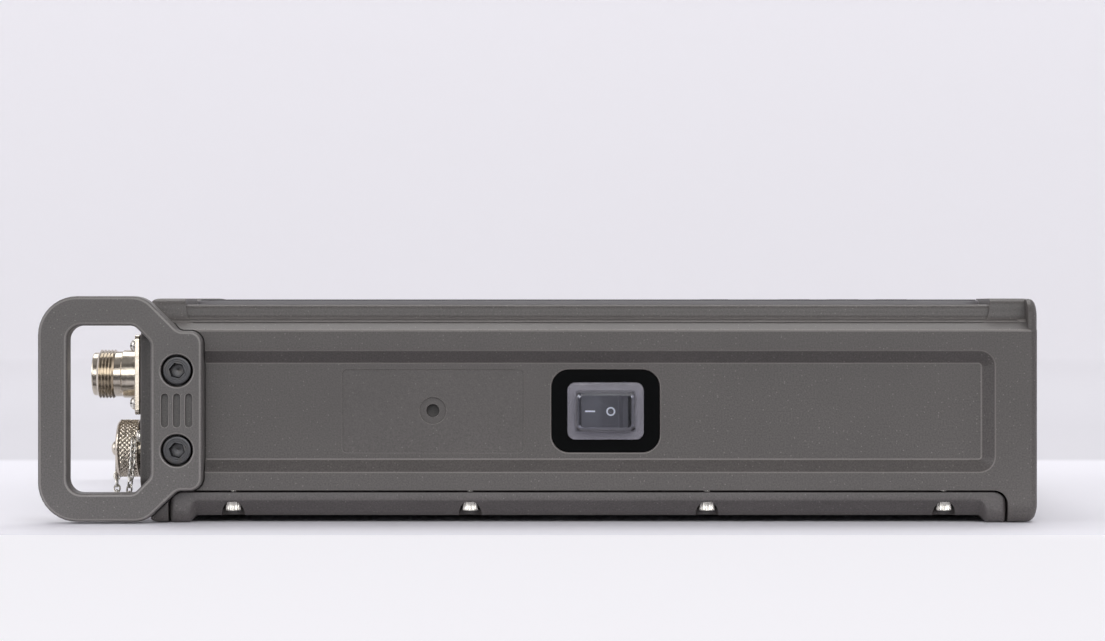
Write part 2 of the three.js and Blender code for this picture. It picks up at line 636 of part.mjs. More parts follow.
function switchSurround() {
  const body = sidePlate(centred(SWITCH.x, SWITCH.z, SWITCH.pocket, 5.3, -0.35), -112.2, -108.4);
  return body.subtract(sidePlate(centred(SWITCH.x, SWITCH.z, SWITCH.boot, 3.5, -2.1), -120, -100));
}

// Clear cover: a rim clamped on the surround and a raised hollow dome over the rocker.
function switchBoot() {
  const { x, z, boot } = SWITCH;
  const rim = sidePlate(centred(x, z, boot, 2.4), -113.9, -112.5, { chamfer: 0.4 });
  const dome = sidePlate(centred(x, z, boot, 4.6, -2.2), -117.6, -113.5, { chamfer: 0.9 });
  const hollow = sidePlate(centred(x, z, boot, 4.2, -3), -116.9, -110);
  return rim.add(dome).subtract(hollow);
}

// Rocker seen along its axle: raised at the off end while it rests.
function switchRocker() {
  const { x, z, rocker: [length, height] } = SWITCH;
  const profile = outline([
    [x - length / 2, -110.2, 0], [x - 1.5, -108.7, 0], [x + 1.5, -108.7, 0],
    [x + length / 2, -112.6, 0], [x + length / 2, -115.4, 0], [x + 1.5, -113.2, 0],
    [x - length / 2, -112.6, 0],
  ]);
  return plate(profile, z - height / 2, z + height / 2);
}

function switchBody() {
  const { x, z, body: [width, height] } = SWITCH;
  const body = box(x - width / 2, x + width / 2, -108, -88, z - height / 2, z + height / 2);
  const blades = [-6, 6].map((shift) => box(x + shift - 0.4, x + shift + 0.4, -88.1, -81, z - 2.4, z + 2.4));
  return union([body, ...blades]);
}

add('switch_surround', switchSurround(), 0x0c0d0f, 0.45);
add('switch_boot', switchBoot(), 0xb9bcc2, 0.15);
add('switch_rocker', switchRocker(), 0x4f4f55, 0.45);
add('switch_body', switchBody(), 0x151517, 0.5);

// --- socket block behind a hinged rubber door on the connector end -----------------------------

function socketBlock() {
  const [y0, y1] = DOOR.y;
  const [z0, z1] = DOOR.z;
  const { outer, inner, bottom } = SOCKETS;
  const mouth = outer - 2;
  return without(box(outer, inner, y0, y1, z0, z1), [
    rodX(4.2, mouth, bottom, y0 + 9, 30, 16),
    box(mouth, bottom, y0 + 20, y0 + 34, 27, 33.5),
    box(mouth, bottom, y0 + 41, y0 + 57, 23, 36.5),
  ]);
}

function doorPlate() {
  const [y0, y1] = DOOR.y;
  const [z0, z1] = DOOR.z;
  const { outer, inner } = DOOR;
  const leaf = endPlate(rectangle(y0, y1, z0, z1, 1.6), outer, inner);
  const middle = (y0 + y1) / 2;
  const lip = box(outer - 1.6, outer + 0.1, middle - 6, middle + 6, z1 - 4.5, z1 - 2);
  return leaf.add(lip);
}

add('socket_block', socketBlock(), 0x202124, 0.5);
add('socket_door', doorPlate(), 0x2b2b2d, 0.85);

// --- electronics inside the housing ------------------------------------------------------------

function coax(z, deep) {
  const route = new THREE.CatmullRomCurve3([
    [-109.6, PORT_Y, z], [-106, PORT_Y, z], [-103, PORT_Y + 4, z], [-100.5, PORT_Y + deep, z],
  ].map(([x, y, h]) => new THREE.Vector3(x, y, h)));
  const section = new THREE.Shape().absarc(0, 0, COAX_RADIUS, 0, Math.PI * 2);
  return solid(new THREE.ExtrudeGeometry(section, { steps: 8, curveSegments: 5, extrudePath: route }));
}

function rfModule() {
  const { left, right, near, far, bottom, top, lid, lidInset } = MODULE;
  return box(left, right, near, far, bottom, top).add(
    box(left + lidInset, right - lidInset, near + lidInset, far - lidInset, top - 0.1, top + lid),
  );
}

add('main_board', box(BOARD.left, BOARD.right, -BOARD.half, BOARD.half, BOARD.bottom, BOARD.top),
  0x1e5a38, 0.6);
add('rf_module', rfModule(), 0xb8b9bb, 0.35, 0.8);
add('battery_pack', plate(around(BATTERY, BATTERY.corner), BATTERY.bottom, BATTERY.top), 0x2c3038, 0.6);
add('port1_coax', coax(PORT_Z[0], 10), 0xb58a4c, 0.35, 0.8);
add('port2_coax', coax(PORT_Z[1], 10), 0xb58a4c, 0.35, 0.8);

export default group;
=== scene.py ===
import bmesh
import bpy
import json
import math
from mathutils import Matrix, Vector

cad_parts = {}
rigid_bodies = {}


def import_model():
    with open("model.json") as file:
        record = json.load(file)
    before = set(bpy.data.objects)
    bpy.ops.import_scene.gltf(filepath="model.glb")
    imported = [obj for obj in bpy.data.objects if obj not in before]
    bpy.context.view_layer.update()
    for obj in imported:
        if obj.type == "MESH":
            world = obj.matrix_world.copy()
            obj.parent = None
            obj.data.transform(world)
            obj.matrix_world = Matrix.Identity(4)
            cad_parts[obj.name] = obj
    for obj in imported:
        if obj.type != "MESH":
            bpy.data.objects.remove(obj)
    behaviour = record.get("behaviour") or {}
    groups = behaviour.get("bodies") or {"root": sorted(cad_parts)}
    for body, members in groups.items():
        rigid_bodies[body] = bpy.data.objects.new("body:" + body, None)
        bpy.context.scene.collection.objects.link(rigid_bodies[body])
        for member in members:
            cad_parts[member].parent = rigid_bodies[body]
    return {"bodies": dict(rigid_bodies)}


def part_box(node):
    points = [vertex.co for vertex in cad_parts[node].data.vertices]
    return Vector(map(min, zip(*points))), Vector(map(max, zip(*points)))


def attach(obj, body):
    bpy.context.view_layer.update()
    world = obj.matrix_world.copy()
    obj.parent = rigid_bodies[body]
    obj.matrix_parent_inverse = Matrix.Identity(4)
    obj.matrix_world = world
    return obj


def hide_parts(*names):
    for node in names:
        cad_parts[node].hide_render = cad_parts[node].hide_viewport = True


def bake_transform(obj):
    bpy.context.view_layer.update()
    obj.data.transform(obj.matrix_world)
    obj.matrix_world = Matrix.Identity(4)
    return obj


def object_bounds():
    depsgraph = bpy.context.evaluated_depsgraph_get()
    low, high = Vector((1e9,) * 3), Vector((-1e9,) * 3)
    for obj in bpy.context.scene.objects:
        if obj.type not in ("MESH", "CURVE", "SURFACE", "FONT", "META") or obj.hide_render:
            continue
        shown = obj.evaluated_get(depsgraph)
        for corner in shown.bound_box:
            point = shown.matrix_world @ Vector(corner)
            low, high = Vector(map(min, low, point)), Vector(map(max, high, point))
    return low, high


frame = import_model()
cad_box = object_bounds()
scene = bpy.context.scene

# ------------------------------------------------------------------------------------------
# Camera, table and lights.
# A level camera faces the long side that carries the power switch, with its axis just under
# the top of the case. The table is a pale sheet that sweeps up into the backdrop.
# ------------------------------------------------------------------------------------------

MM = 0.001
NEAR_FACE = cad_box[0][1] / MM           # outer face of the near handle
VIEW_DISTANCE = 900                      # camera to the near handle's face
VIEW_WIDTH = 343.8                       # width seen at that face
CAMERA_X, CAMERA_Z = 4.25, 67.2          # a little right of the middle, just under the crowns
FRAME_DROP = -12.5 / 1105                # small vertical shift, as a share of the frame's width
SENSOR_WIDTH = 36

camera_data = bpy.data.cameras.new("camera")
camera_data.sensor_width = SENSOR_WIDTH
camera_data.lens = SENSOR_WIDTH * VIEW_DISTANCE / VIEW_WIDTH
camera_data.shift_y = FRAME_DROP
camera_data.clip_start = 0.05
camera = bpy.data.objects.new("camera", camera_data)
camera.location = Vector((CAMERA_X, NEAR_FACE - VIEW_DISTANCE, CAMERA_Z)) * MM
camera.rotation_euler = (math.radians(90), 0, 0)
scene.collection.objects.link(camera)
scene.camera = camera
scene.view_settings.view_transform = "Standard"


def linear(colour):
    """Linear RGB of an sRGB hex colour such as '#5d5a5a'."""
    parts = [int(colour[i:i + 2], 16) / 255 for i in (1, 3, 5)]
    return [p / 12.92 if p <= 0.04045 else ((p + 0.055) / 1.055) ** 2.4 for p in parts]


def add_node(tree, kind, inputs=None, **settings):
    """A node of that kind with its settings; an input is a value, or a socket to link from."""
    made = tree.nodes.new(kind)
    for name, value in settings.items():
        setattr(made, name, value)
    for name, value in (inputs or {}).items():
        if isinstance(value, bpy.types.NodeSocket):
            tree.links.new(value, made.inputs[name])
        else:
            made.inputs[name].default_value = value
    return made


def new_surface(name, colour, metallic=0.0, roughness=0.5, **more):
    """A material with one plain Principled shader; returns it, its tree and the shader."""
    material = bpy.data.materials.new(name)
    material.use_nodes = True
    tree = material.node_tree
    shader = tree.nodes["Principled BSDF"]
    shader.inputs["Base Color"].default_value = (*linear(colour), 1)
    shader.inputs["Metallic"].default_value = metallic
    shader.inputs["Roughness"].default_value = roughness
    for label, value in more.items():
        shader.inputs[label.replace("_", " ")].default_value = value
    return material, tree, shader


TABLE_EDGE = (0.24, 0.275)               # the brighter table top ends here, behind the instrument
WALL_GLOW = 0.31                         # makes up for the light that the far sheet doesn't get
HEIGHT_GLOW = 0.07                       # and a little more at the height below
LIT_HEIGHT = 0.6
GLOW_RANGE = (0.7, 3.1)                  # distance from the middle over which WALL_GLOW comes in
CARD_EDGE = -0.165                       # where the dark card on the camera's side begins
CARD_GLOW = 0.5                          # makes the sheet under that card as bright as the rest
EDGE_BLEND = 0.002                       # half the width of the change at the card's edge


def studio_bowl():
    """Flat floor that bends up into a wall all round, so that every view has a plain backdrop."""
    flat, radius, height, around, bend_steps = 3.0, 0.9, 2.7, 96, 12
    profile = [(0.4, 0), (1.2, 0), (flat, 0)]
    for i in range(1, bend_steps + 1):
        angle = math.radians(90) * i / bend_steps
        profile.append((flat + radius * math.sin(angle), radius * (1 - math.cos(angle))))
    profile.append((flat + radius, height))
    points = [(0, 0, 0)]
    for r, z in profile:
        for k in range(around):
            turn = 2 * math.pi * k / around
            points.append((r * math.cos(turn), r * math.sin(turn), z))
    faces = [(0, 1 + k, 1 + (k + 1) % around) for k in range(around)]
    for i in range(len(profile) - 1):
        for k in range(around):
            low, high, turn = 1 + i * around, 1 + (i + 1) * around, (k + 1) % around
            faces.append((low + k, high + k, high + turn, low + turn))
    mesh = bpy.data.meshes.new("floor")
    mesh.from_pydata(points, [], faces)
    for polygon in mesh.polygons:
        polygon.use_smooth = True
    bowl = bpy.data.objects.new("floor", mesh)
    scene.collection.objects.link(bowl)
    return bowl


def floor_paper():
    """Pale matt sheet: a brighter table top whose far edge lies a little behind the instrument."""
    material, tree, shader = new_surface("pale_floor", "#f0eff5", roughness=0.75)
    where = add_node(tree, "ShaderNodeSeparateXYZ", {
        "Vector": add_node(tree, "ShaderNodeTexCoord").outputs["Object"]})
    edge = add_node(tree, "ShaderNodeMapRange", {
        "Value": where.outputs["Y"], "From Min": TABLE_EDGE[0], "From Max": TABLE_EDGE[1]},
        interpolation_type="SMOOTHSTEP")
    tone = add_node(tree, "ShaderNodeMix", {
        0: edge.outputs["Result"], 6: (*linear("#e8e7ed"), 1), 7: (*linear("#d1d0d5"), 1)},
        data_type="RGBA")
    tree.links.new(tone.outputs[2], shader.inputs["Base Color"])
    flat_place = add_node(tree, "ShaderNodeCombineXYZ", {
        "X": where.outputs["X"], "Y": where.outputs["Y"]})
    away = add_node(tree, "ShaderNodeVectorMath", {0: flat_place.outputs[0]}, operation="LENGTH")
    far_floor = add_node(tree, "ShaderNodeMapRange", {
        "Value": away.outputs["Value"], "From Min": GLOW_RANGE[0],
        "From Max": GLOW_RANGE[1], "To Max": WALL_GLOW})
    height = add_node(tree, "ShaderNodeMapRange", {
        "Value": where.outputs["Z"], "From Min": 0.0, "From Max": LIT_HEIGHT,
        "To Max": HEIGHT_GLOW})
    wall = add_node(tree, "ShaderNodeMath",
                    {0: far_floor.outputs["Result"], 1: height.outputs["Result"]}, operation="ADD")
    under_card = add_node(tree, "ShaderNodeMapRange", {
        "Value": where.outputs["Y"], "From Min": CARD_EDGE + EDGE_BLEND,
        "From Max": CARD_EDGE - EDGE_BLEND, "To Max": CARD_GLOW}, interpolation_type="SMOOTHSTEP")
    glow = add_node(tree, "ShaderNodeMath", {0: wall.outputs[0], 1: under_card.outputs["Result"]},
                    operation="ADD")
    shader.inputs["Emission Color"].default_value = (*linear("#f4f2f5"), 1)
    tree.links.new(glow.outputs[0], shader.inputs["Emission Strength"])
    return material


def dark_room():
    """Unlit studio on the camera's side: a card that only bounced light and reflections meet."""
    near, far, half, high, lift = CARD_EDGE, -3.3, 3.0, 2.2, 0.002
    points = [(-half, near, lift), (half, near, lift), (half, far, lift), (-half, far, lift),
              (half, far, high), (-half, far, high)]
    mesh = bpy.data.meshes.new("dark_room")
    mesh.from_pydata(points, [], [(0, 1, 2, 3), (3, 2, 4, 5)])
    card = bpy.data.objects.new("dark_room", mesh)
    scene.collection.objects.link(card)
    card.visible_camera = False
    card.visible_shadow = False
    card.data.materials.append(new_surface("unlit_room", "#3a393c", roughness=0.9)[0])


dark_room()
floor = studio_bowl()
floor.data.materials.append(floor_paper())


def soft_light(name, place, target, size, power, colour="#ffffff"):
    """Rectangular area light at a place, turned to a target; size in metres, power in watts."""
    data = bpy.data.lights.new(name, "AREA")
    data.shape = "RECTANGLE"
    data.size, data.size_y = size
    data.energy = power
    data.color = linear(colour)
    lamp = bpy.data.objects.new(name, data)
    lamp.location = place
    lamp.rotation_euler = (Vector(target) - Vector(place)).to_track_quat("-Z", "Y").to_euler()
    scene.collection.objects.link(lamp)
    return lamp


# A broad light from above and behind models the rim, and weaker ones fill the near side. The
# panel is seen only in the gloss of upright faces.
soft_light("top_softbox", (0.1, 0.9, 2.3), (0, 0.1, 0), (2.6, 1.5), 38)
soft_light("front_softbox", (0.5, -2.3, 1.5), (0, 0, 0.03), (2.2, 1.3), 23)
sheen = soft_light("sheen_panel", (0, -3.0, 0.35), (0, 0, 0.04), (2.6, 1.4), 40)
sheen.visible_diffuse = False
soft_light("left_softbox", (-2.2, -0.6, 1.1), (-0.1, 0, 0.03), (1.0, 1.4), 8)
world = bpy.data.worlds.new("studio")
world.use_nodes = True
world.node_tree.nodes["Background"].inputs["Color"].default_value = (*linear("#f4f2f4"), 1)
world.node_tree.nodes["Background"].inputs["Strength"].default_value = 0.35
scene.world = world

# ------------------------------------------------------------------------------------------
# Main housing.
# One aluminium casting with a fine-texture powder coat: long sides with a slanted tray, a
# shoulder and flare under the rim, and four raised crowns that guard the front panel.
# ------------------------------------------------------------------------------------------


def mm_box(node):
    """Lowest and highest corner of a CAD node, in millimetres."""
    low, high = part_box(node)
    return [v / MM for v in low], [v / MM for v in high]


def rectangle(x0, x1, y0, y1, radius):
    """Corners of a rounded rectangle, each as (x, y, radius)."""
    return [(x0, y0, radius), (x1, y0, radius), (x1, y1, radius), (x0, y1, radius)]


def grown(low, high, by, radius):
    """Rounded rectangle round a box in X and Y, grown by a distance."""
    return rectangle(low[0] - by, high[0] + by, low[1] - by, high[1] + by, radius)


def ring_of(shape, inset=0.0, steps=8):
    """Points of an outline moved inwards by inset: a circle (x, y, r) or corners (x, y, r)."""
    if isinstance(shape, tuple):
        x, y, radius = shape
        count = 6 * steps
        turns = [2 * math.pi * i / count for i in range(count)]
        return [(x + (radius - inset) * math.cos(t), y + (radius - inset) * math.sin(t))
                for t in turns]
    points = []
    for i, (x, y, radius) in enumerate(shape):
        corner = Vector((x, y))
        before = (corner - Vector(shape[i - 1][:2])).normalized()
        after = (Vector(shape[(i + 1) % len(shape)][:2]) - corner).normalized()
        side_before = Vector((-before.y, before.x))
        side_after = Vector((-after.y, after.x))
        corner += (side_before + side_after) * (inset / (1 + side_before.dot(side_after)))
        convex = before.x * after.y - before.y * after.x > 0
        radius = max(radius - inset, 0.02) if convex else max(radius + inset, 0.02)
        half = math.acos(max(-1, min(1, -before.dot(after)))) / 2
        start = corner - before * (radius / math.tan(half))
        centre = start + side_before * (radius if convex else -radius)
        end = corner + after * (radius / math.tan(half))
        first = math.atan2(start.y - centre.y, start.x - centre.x)
        last = math.atan2(end.y - centre.y, end.x - centre.x)
        if convex and last < first:
            last += 2 * math.pi
        if not convex and last > first:
            last -= 2 * math.pi
        for k in range(steps + 1):
            angle = first + (last - first) * k / steps
            points.append((centre.x + radius * math.cos(angle),
                           centre.y + radius * math.sin(angle)))
    return points


PLANES = {
    "XY": lambda a, b, level: (a, b, level),
    "XZ": lambda a, b, level: (a, level, b),
    "YZ": lambda a, b, level: (level, a, b),
}


def skin(name, rings):
    """Closed solid over a row of rings of equal count, given in millimetres."""
    shell = bmesh.new()
    rows = [[shell.verts.new(Vector(p) * MM) for p in ring] for ring in rings]
    for low, high in zip(rows, rows[1:]):
        for i in range(len(low)):
            j = (i + 1) % len(low)
            shell.faces.new((low[i], low[j], high[j], high[i]))
    shell.faces.new(reversed(rows[0]))
    shell.faces.new(rows[-1])
    bmesh.ops.recalc_face_normals(shell, faces=shell.faces)
    mesh = bpy.data.meshes.new(name)
    shell.to_mesh(mesh)
    shell.free()
    made = bpy.data.objects.new(name, mesh)
    scene.collection.objects.link(made)
    return made


def stacked(name, shape, plane, profile, steps=8):
    """Solid of an outline in a plane, whose inset follows a profile of (level, inset)."""
    place = PLANES[plane]
    rings = [[place(a, b, level) for a, b in ring_of(shape, inset, steps)]
             for level, inset in profile]
    return skin(name, rings)


def rounded_plate(name, shape, plane, start, end, radius=0.0, steps=8, edge=4):
    """Plate of an outline between two levels, with both of its rims rounded by radius."""
    if not radius:
        return stacked(name, shape, plane, [(start, 0), (end, 0)], steps)
    turns = [math.radians(90) * i / edge for i in range(edge + 1)]
    way = 1 if end > start else -1
    rise = [(start + way * radius * (1 - math.cos(t)), radius * (1 - math.sin(t))) for t in turns]
    fall = [(end - way * radius * (1 - math.cos(t)), radius * (1 - math.sin(t)))
            for t in reversed(turns)]
    return stacked(name, shape, plane, rise + fall, steps)


def pocket(shape, plane, floor, surface, lip=0.0, beyond=3.0, steps=8):
    """Cutter from a floor out through a surface, flared there so that the rim is rounded."""
    way = 1 if surface > floor else -1
    profile = [(floor, 0)]
    if lip:
        turns = [math.radians(90) * i / 4 for i in range(5)]
        profile += [(surface - way * lip * (1 - math.sin(t)), -lip * (1 - math.cos(t)))
                    for t in turns]
    profile.append((surface + way * beyond, -lip))
    return stacked("cutter", shape, plane, profile, steps)


def shape_with(body, pieces, operation="DIFFERENCE"):
    """Cuts the pieces from body, or joins them to it, and removes them."""
    for piece in pieces:
        modifier = body.modifiers.new("shape", "BOOLEAN")
        modifier.operation = operation
        modifier.solver = "MANIFOLD"
        modifier.object = piece
    bpy.context.view_layer.update()
    depsgraph = bpy.context.evaluated_depsgraph_get()
    mesh = bpy.data.meshes.new_from_object(body.evaluated_get(depsgraph))
    body.modifiers.clear()
    body.data = mesh
    for piece in pieces:
        bpy.data.objects.remove(piece)
    return body


def finish_piece(piece, material, body, *nodes, crease=32):
    """Smooth shading with real edges kept, the material, and the body and CAD nodes replaced."""
    piece.data.materials.clear()
    piece.data.materials.append(material)
    piece.data.shade_smooth()
    piece.data.set_sharp_from_angle(angle=math.radians(crease))
    weigh = piece.modifiers.new("flat_faces_stay_flat", "WEIGHTED_NORMAL")
    weigh.keep_sharp = True
    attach(piece, body)
    if nodes:
        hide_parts(*nodes)


def mark_wear_and_highlight_edges(piece, width_mm=0.34, bend=8, facing=None, beyond_x=None):
    """Face attribute, 1 on the narrow facets that round a real edge: edge wear and painted
    highlight.

    facing keeps only facets that look nearly along that axis, where the painted highlight lines
    run, and none lie beyond beyond_x.
    """
    nearly_along = 0.78
    shell = bmesh.new()
    shell.from_mesh(piece.data)
    wear_and_highlight = []
    for face in shell.faces:
        width = 2 * face.calc_area() / max(face.calc_perimeter(), 1e-9)
        turn = 0.0
        longest = max(edge.calc_length() for edge in face.edges)
        for edge in face.edges:
            if edge.calc_length() > longest * 0.5 and len(edge.link_faces) == 2:
                turn = max(turn, edge.calc_face_angle(0.0))
        kept = facing is None or abs(face.normal[facing]) > nearly_along
        if beyond_x is not None and face.calc_center_median().x > beyond_x * MM:
            kept = False
        wear_and_highlight.append(1.0 if kept and width < width_mm * MM and turn > math.radians(bend) else 0.0)
    shell.free()
    layer = piece.data.attributes.new("wear_and_highlight_edge", "FLOAT", "FACE")
    layer.data.foreach_set("value", wear_and_highlight)


def powder_coat(name, colour, grain_mm=0.5):
    """Baked polyester powder: half gloss over a fine sand grain, lighter flecks, and edge facets
    painted lighter, partly as rubbed paint and partly as a painted highlight.

    The grain is drawn coarser than real powder's, so that it shows.
    """
    material, tree, shader = new_surface(name, colour, roughness=0.45, Specular_IOR_Level=0.5)
    where = add_node(tree, "ShaderNodeTexCoord").outputs["Object"]
    grain = add_node(tree, "ShaderNodeTexNoise", {
        "Vector": where, "Scale": 1 / (grain_mm * MM), "Detail": 2.0, "Roughness": 0.6})
    cloud = add_node(tree, "ShaderNodeTexNoise",
                     {"Vector": where, "Scale": 1 / (28 * MM), "Detail": 3.0})
    fleck = add_node(tree, "ShaderNodeTexVoronoi", {"Vector": where, "Scale": 1 / (1.1 * MM)})
    spots = add_node(tree, "ShaderNodeMapRange", {
        "Value": fleck.outputs["Distance"], "From Min": 0.06, "From Max": 0.25,
        "To Min": 1.0, "To Max": 0.0})
    pick = add_node(tree, "ShaderNodeMath", {0: add_node(tree, "ShaderNodeSeparateColor", {
        "Color": fleck.outputs["Color"]}).outputs["Red"], 1: 0.78}, operation="GREATER_THAN")
    shown = add_node(tree, "ShaderNodeMath", {0: spots.outputs["Result"], 1: pick.outputs[0]},
                     operation="MULTIPLY")
    base = Vector(linear(colour))
    tone = add_node(tree, "ShaderNodeMapRange", {
        "Value": grain.outputs["Fac"], "From Min": 0.3, "From Max": 0.7})
    mottled = add_node(tree, "ShaderNodeMix", {
        0: tone.outputs["Result"], 6: (*(base * 0.74), 1), 7: (*(base * 1.28), 1)},
        data_type="RGBA")
    broad = add_node(tree, "ShaderNodeMapRange", {
        "Value": cloud.outputs["Fac"], "From Min": 0.3, "From Max": 0.7,
        "To Min": 0.94, "To Max": 1.06})
    scaled = add_node(tree, "ShaderNodeMix", {
        0: 1.0, 6: mottled.outputs[2], 7: broad.outputs["Result"]}, data_type="RGBA",
        blend_type="MULTIPLY")
    flecked = add_node(tree, "ShaderNodeMix", {
        0: shown.outputs[0], 6: scaled.outputs[2],
        7: (*(base * 2.0 + Vector((0.02, 0.02, 0.02))), 1)},
        data_type="RGBA")
    # Flagged edge facets take a much lighter colour: partly rubbed paint, partly a painted
    # highlight line.
    facet = add_node(tree, "ShaderNodeAttribute", attribute_name="wear_and_highlight_edge",
                     attribute_type="GEOMETRY")
    edge = add_node(tree, "ShaderNodeMath", {0: facet.outputs["Fac"], 1: 0.62},
                    operation="MULTIPLY")
    wear_and_highlight = add_node(tree, "ShaderNodeMix", {
        0: edge.outputs[0], 6: flecked.outputs[2],
        7: (*(base * 2.3 + Vector((0.05, 0.047, 0.043))), 1)},
        data_type="RGBA")
    tree.links.new(wear_and_highlight.outputs[2], shader.inputs["Base Color"])
    rough = add_node(tree, "ShaderNodeMapRange", {
        "Value": grain.outputs["Fac"], "From Min": 0.3, "From Max": 0.7,
        "To Min": 0.38, "To Max": 0.54})
    polished = add_node(tree, "ShaderNodeMath", {
        0: edge.outputs[0], 1: -0.2, 2: rough.outputs["Result"]}, operation="MULTIPLY_ADD")
    tree.links.new(polished.outputs[0], shader.inputs["Roughness"])
    bump = add_node(tree, "ShaderNodeBump", {
        "Height": grain.outputs["Fac"], "Strength": 0.35, "Distance": 0.12 * MM})
    tree.links.new(bump.outputs["Normal"], shader.inputs["Normal"])
    return material


# Grey polyester on cast aluminium: half gloss and sandy; its edges are painted lighter, partly
# as rubbed paint and partly as a painted highlight.
housing_coat = powder_coat("powder_coated_aluminium_grey", "#534f4d")

BODY_LOW, BODY_HIGH = mm_box("main_housing")
HALF = BODY_HIGH[1]
SIDE_TOP = 59.85                         # the upright side ends and the shoulder turns in
STEP_Z = 62.45                           # foot of the rim
CROWN_Z = 66.9                           # a crown starts to round over
LEDGE_Z = 68.3                           # top of the rim between the crowns
FOOT_HIGH, FOOT_IN_X, FOOT_IN_Y = 5.7, 3.2, 2.2      # rounding round the foot of the casting
CASE_CORNER = 2.2                        # upright corners of the casting


def bezier(a, b, c, count):
    """Points of a curve that leaves a towards b and arrives at c from b."""
    steps = [i / count for i in range(1, count + 1)]
    return [tuple((1 - t) ** 2 * p + 2 * t * (1 - t) * q + t * t * r for p, q, r in zip(a, b, c))
            for t in steps]


def housing_ring(z, inset_x, inset_y, radius):
    """Level section of the casting, drawn in by an inset at its ends and one at its sides."""
    shape = rectangle(BODY_LOW[0] + inset_x, BODY_HIGH[0] - inset_x,
                      -HALF + inset_y, HALF - inset_y, max(radius - min(inset_x, inset_y), 0.8))
    return [(x, y, z) for x, y in ring_of(shape, 0, 10)]


def crown_block():
    """Full outside of the casting, up to the crowns, as levels of (z, inset in X, inset in Y)."""
    base, top = BODY_LOW[2], BODY_HIGH[2]
    levels = []
    for i in range(9):
        turn = math.radians(90) * i / 8
        levels.append((base + FOOT_HIGH * (1 - math.cos(turn)), FOOT_IN_X * (1 - math.sin(turn)),
                       FOOT_IN_Y * (1 - math.sin(turn))))
    side, flare, crown = (SIDE_TOP, 0, 0), (62.5, 0.1, 4.1), (CROWN_Z, 0.15, 6.4)
    levels += [side] + bezier(side, (60.3, 0, 0), (60.55, 0.02, 0.42), 4)
    levels += [flare] + bezier(flare, (63.8, 0.12, 6.4), crown, 8)
    levels += bezier(crown, (top, 0.3, 6.5), (top, 3.4, 9.9), 8)
    return skin("housing", [housing_ring(z, ix, iy, CASE_CORNER) for z, ix, iy in levels])


def rim_block():
    """Lower rim between the crowns: two fine grooves at its foot, a flare and a rounded top."""
    levels = [(58, 5.0), (62.62, 5.0), (62.78, 4.3), (63.0, 4.35), (63.12, 5.1), (63.42, 5.1),
              (63.55, 4.75)]
    levels += bezier((63.55, 4.75), (63.75, 7.3), (65.7, 7.3), 6)
    levels += [(66.2, 7.32)] + bezier((66.2, 7.32), (LEDGE_Z, 7.5), (LEDGE_Z, 9.4), 6)
    return skin("rim", [housing_ring(z, inset + 0.65, inset, 5) for z, inset in levels])


def crown_gap(low, high, plane, reach):
    """Cutter that lowers the rim between two crowns."""
    shape = [(low + 1.2, STEP_Z, 2.6), (high - 1.2, STEP_Z, 2.6),
             (high, 66, 4), (high + 0.7, 72, 0.1), (low - 0.7, 72, 0.1), (low, 66, 4)]
    return stacked("cutter", shape, plane, [(-reach, 0), (reach, 0)])


TRAY_DEPTH = 3.0


def side_tray(side):
    """Tray in a long side: rounded rim, slanted wall and a flat floor."""
    shape = rectangle(-108.8, 142.5, 16, 53.7, 4.8)
    depths = [(-3, -0.35), (0, -0.35), (0.08, -0.15), (0.3, 0.02), (2.75, 3.55), (2.95, 3.75),
              (TRAY_DEPTH, 4.0)]
    profile = [(side * (HALF - depth), inset) for depth, inset in depths]
    return stacked("cutter", shape, "XZ", profile)


def handle_corners():
    """Outline of a loop handle plate in X and Z."""
    (left, _, bottom), (_, _, top) = mm_box("handle_left")
    return [(left, bottom, 12.2), (-122.6, bottom, 8), (-112.5, 10.2, 3.5), (-104.8, 10.2, 4),
            (-104.8, 60.1, 4), (-112.2, 60.1, 3.5), (-123, top, 9), (left, top, 12.2)]


def round_switch(half_x, half_z, radius):
    """Rounded rectangle about the middle of the power switch, in X and Z."""
    return rectangle(SWITCH_X - half_x, SWITCH_X + half_x, SWITCH_Z - half_z,
                     SWITCH_Z + half_z, radius)


def handle_seat(side):
    """Cutter for the flat that a handle plate lies in, with a hairline of room round it."""
    return stacked("cutter", handle_corners(), "XZ", [(side * 130, -0.35), (side * 111.7, -0.35)])


COVER_SCREW_X = [(a[0] + b[0]) / 2 for a, b in (mm_box(f"cover_screw_{i}") for i in range(1, 5))]
COVER_SCREW_Y = 111.4
HANDLE_SCREWS = [(-112.7, 22.9), (-112.7, 47.7)]     # X and Z of the two screws in each handle
M5_CLEAR, M3_CLEAR = 2.8, 1.8            # radii of the holes for those and for the cover's screws
PORT_Y = -89.0
PORT_Z = [46.0, 22.1]                    # axes of the upper and the lower port
SWITCH_X, SWITCH_Z = 20.9, 34.9          # middle of the power switch
HOLLOWS = [(-104, 139, 106.5, 5, 14), (-108.5, 139, 97, 5, 14.2), (-104.5, 150, 107, 12.5, 60),
           (-116, 150, 97.5, 12.5, 59.9), (-98, 130, 96, 59, 75)]     # X range, half width, Z range
LABEL_SEAT = (-61.7, -4.8, 21.8, 47.9)   # shallow seat for a label, with a countersunk screw hole
SEAT_DEPTH = 0.3
SEAT_SCREW = (-33.3, 35)
PANEL_LOW, PANEL_HIGH = mm_box("front_panel")

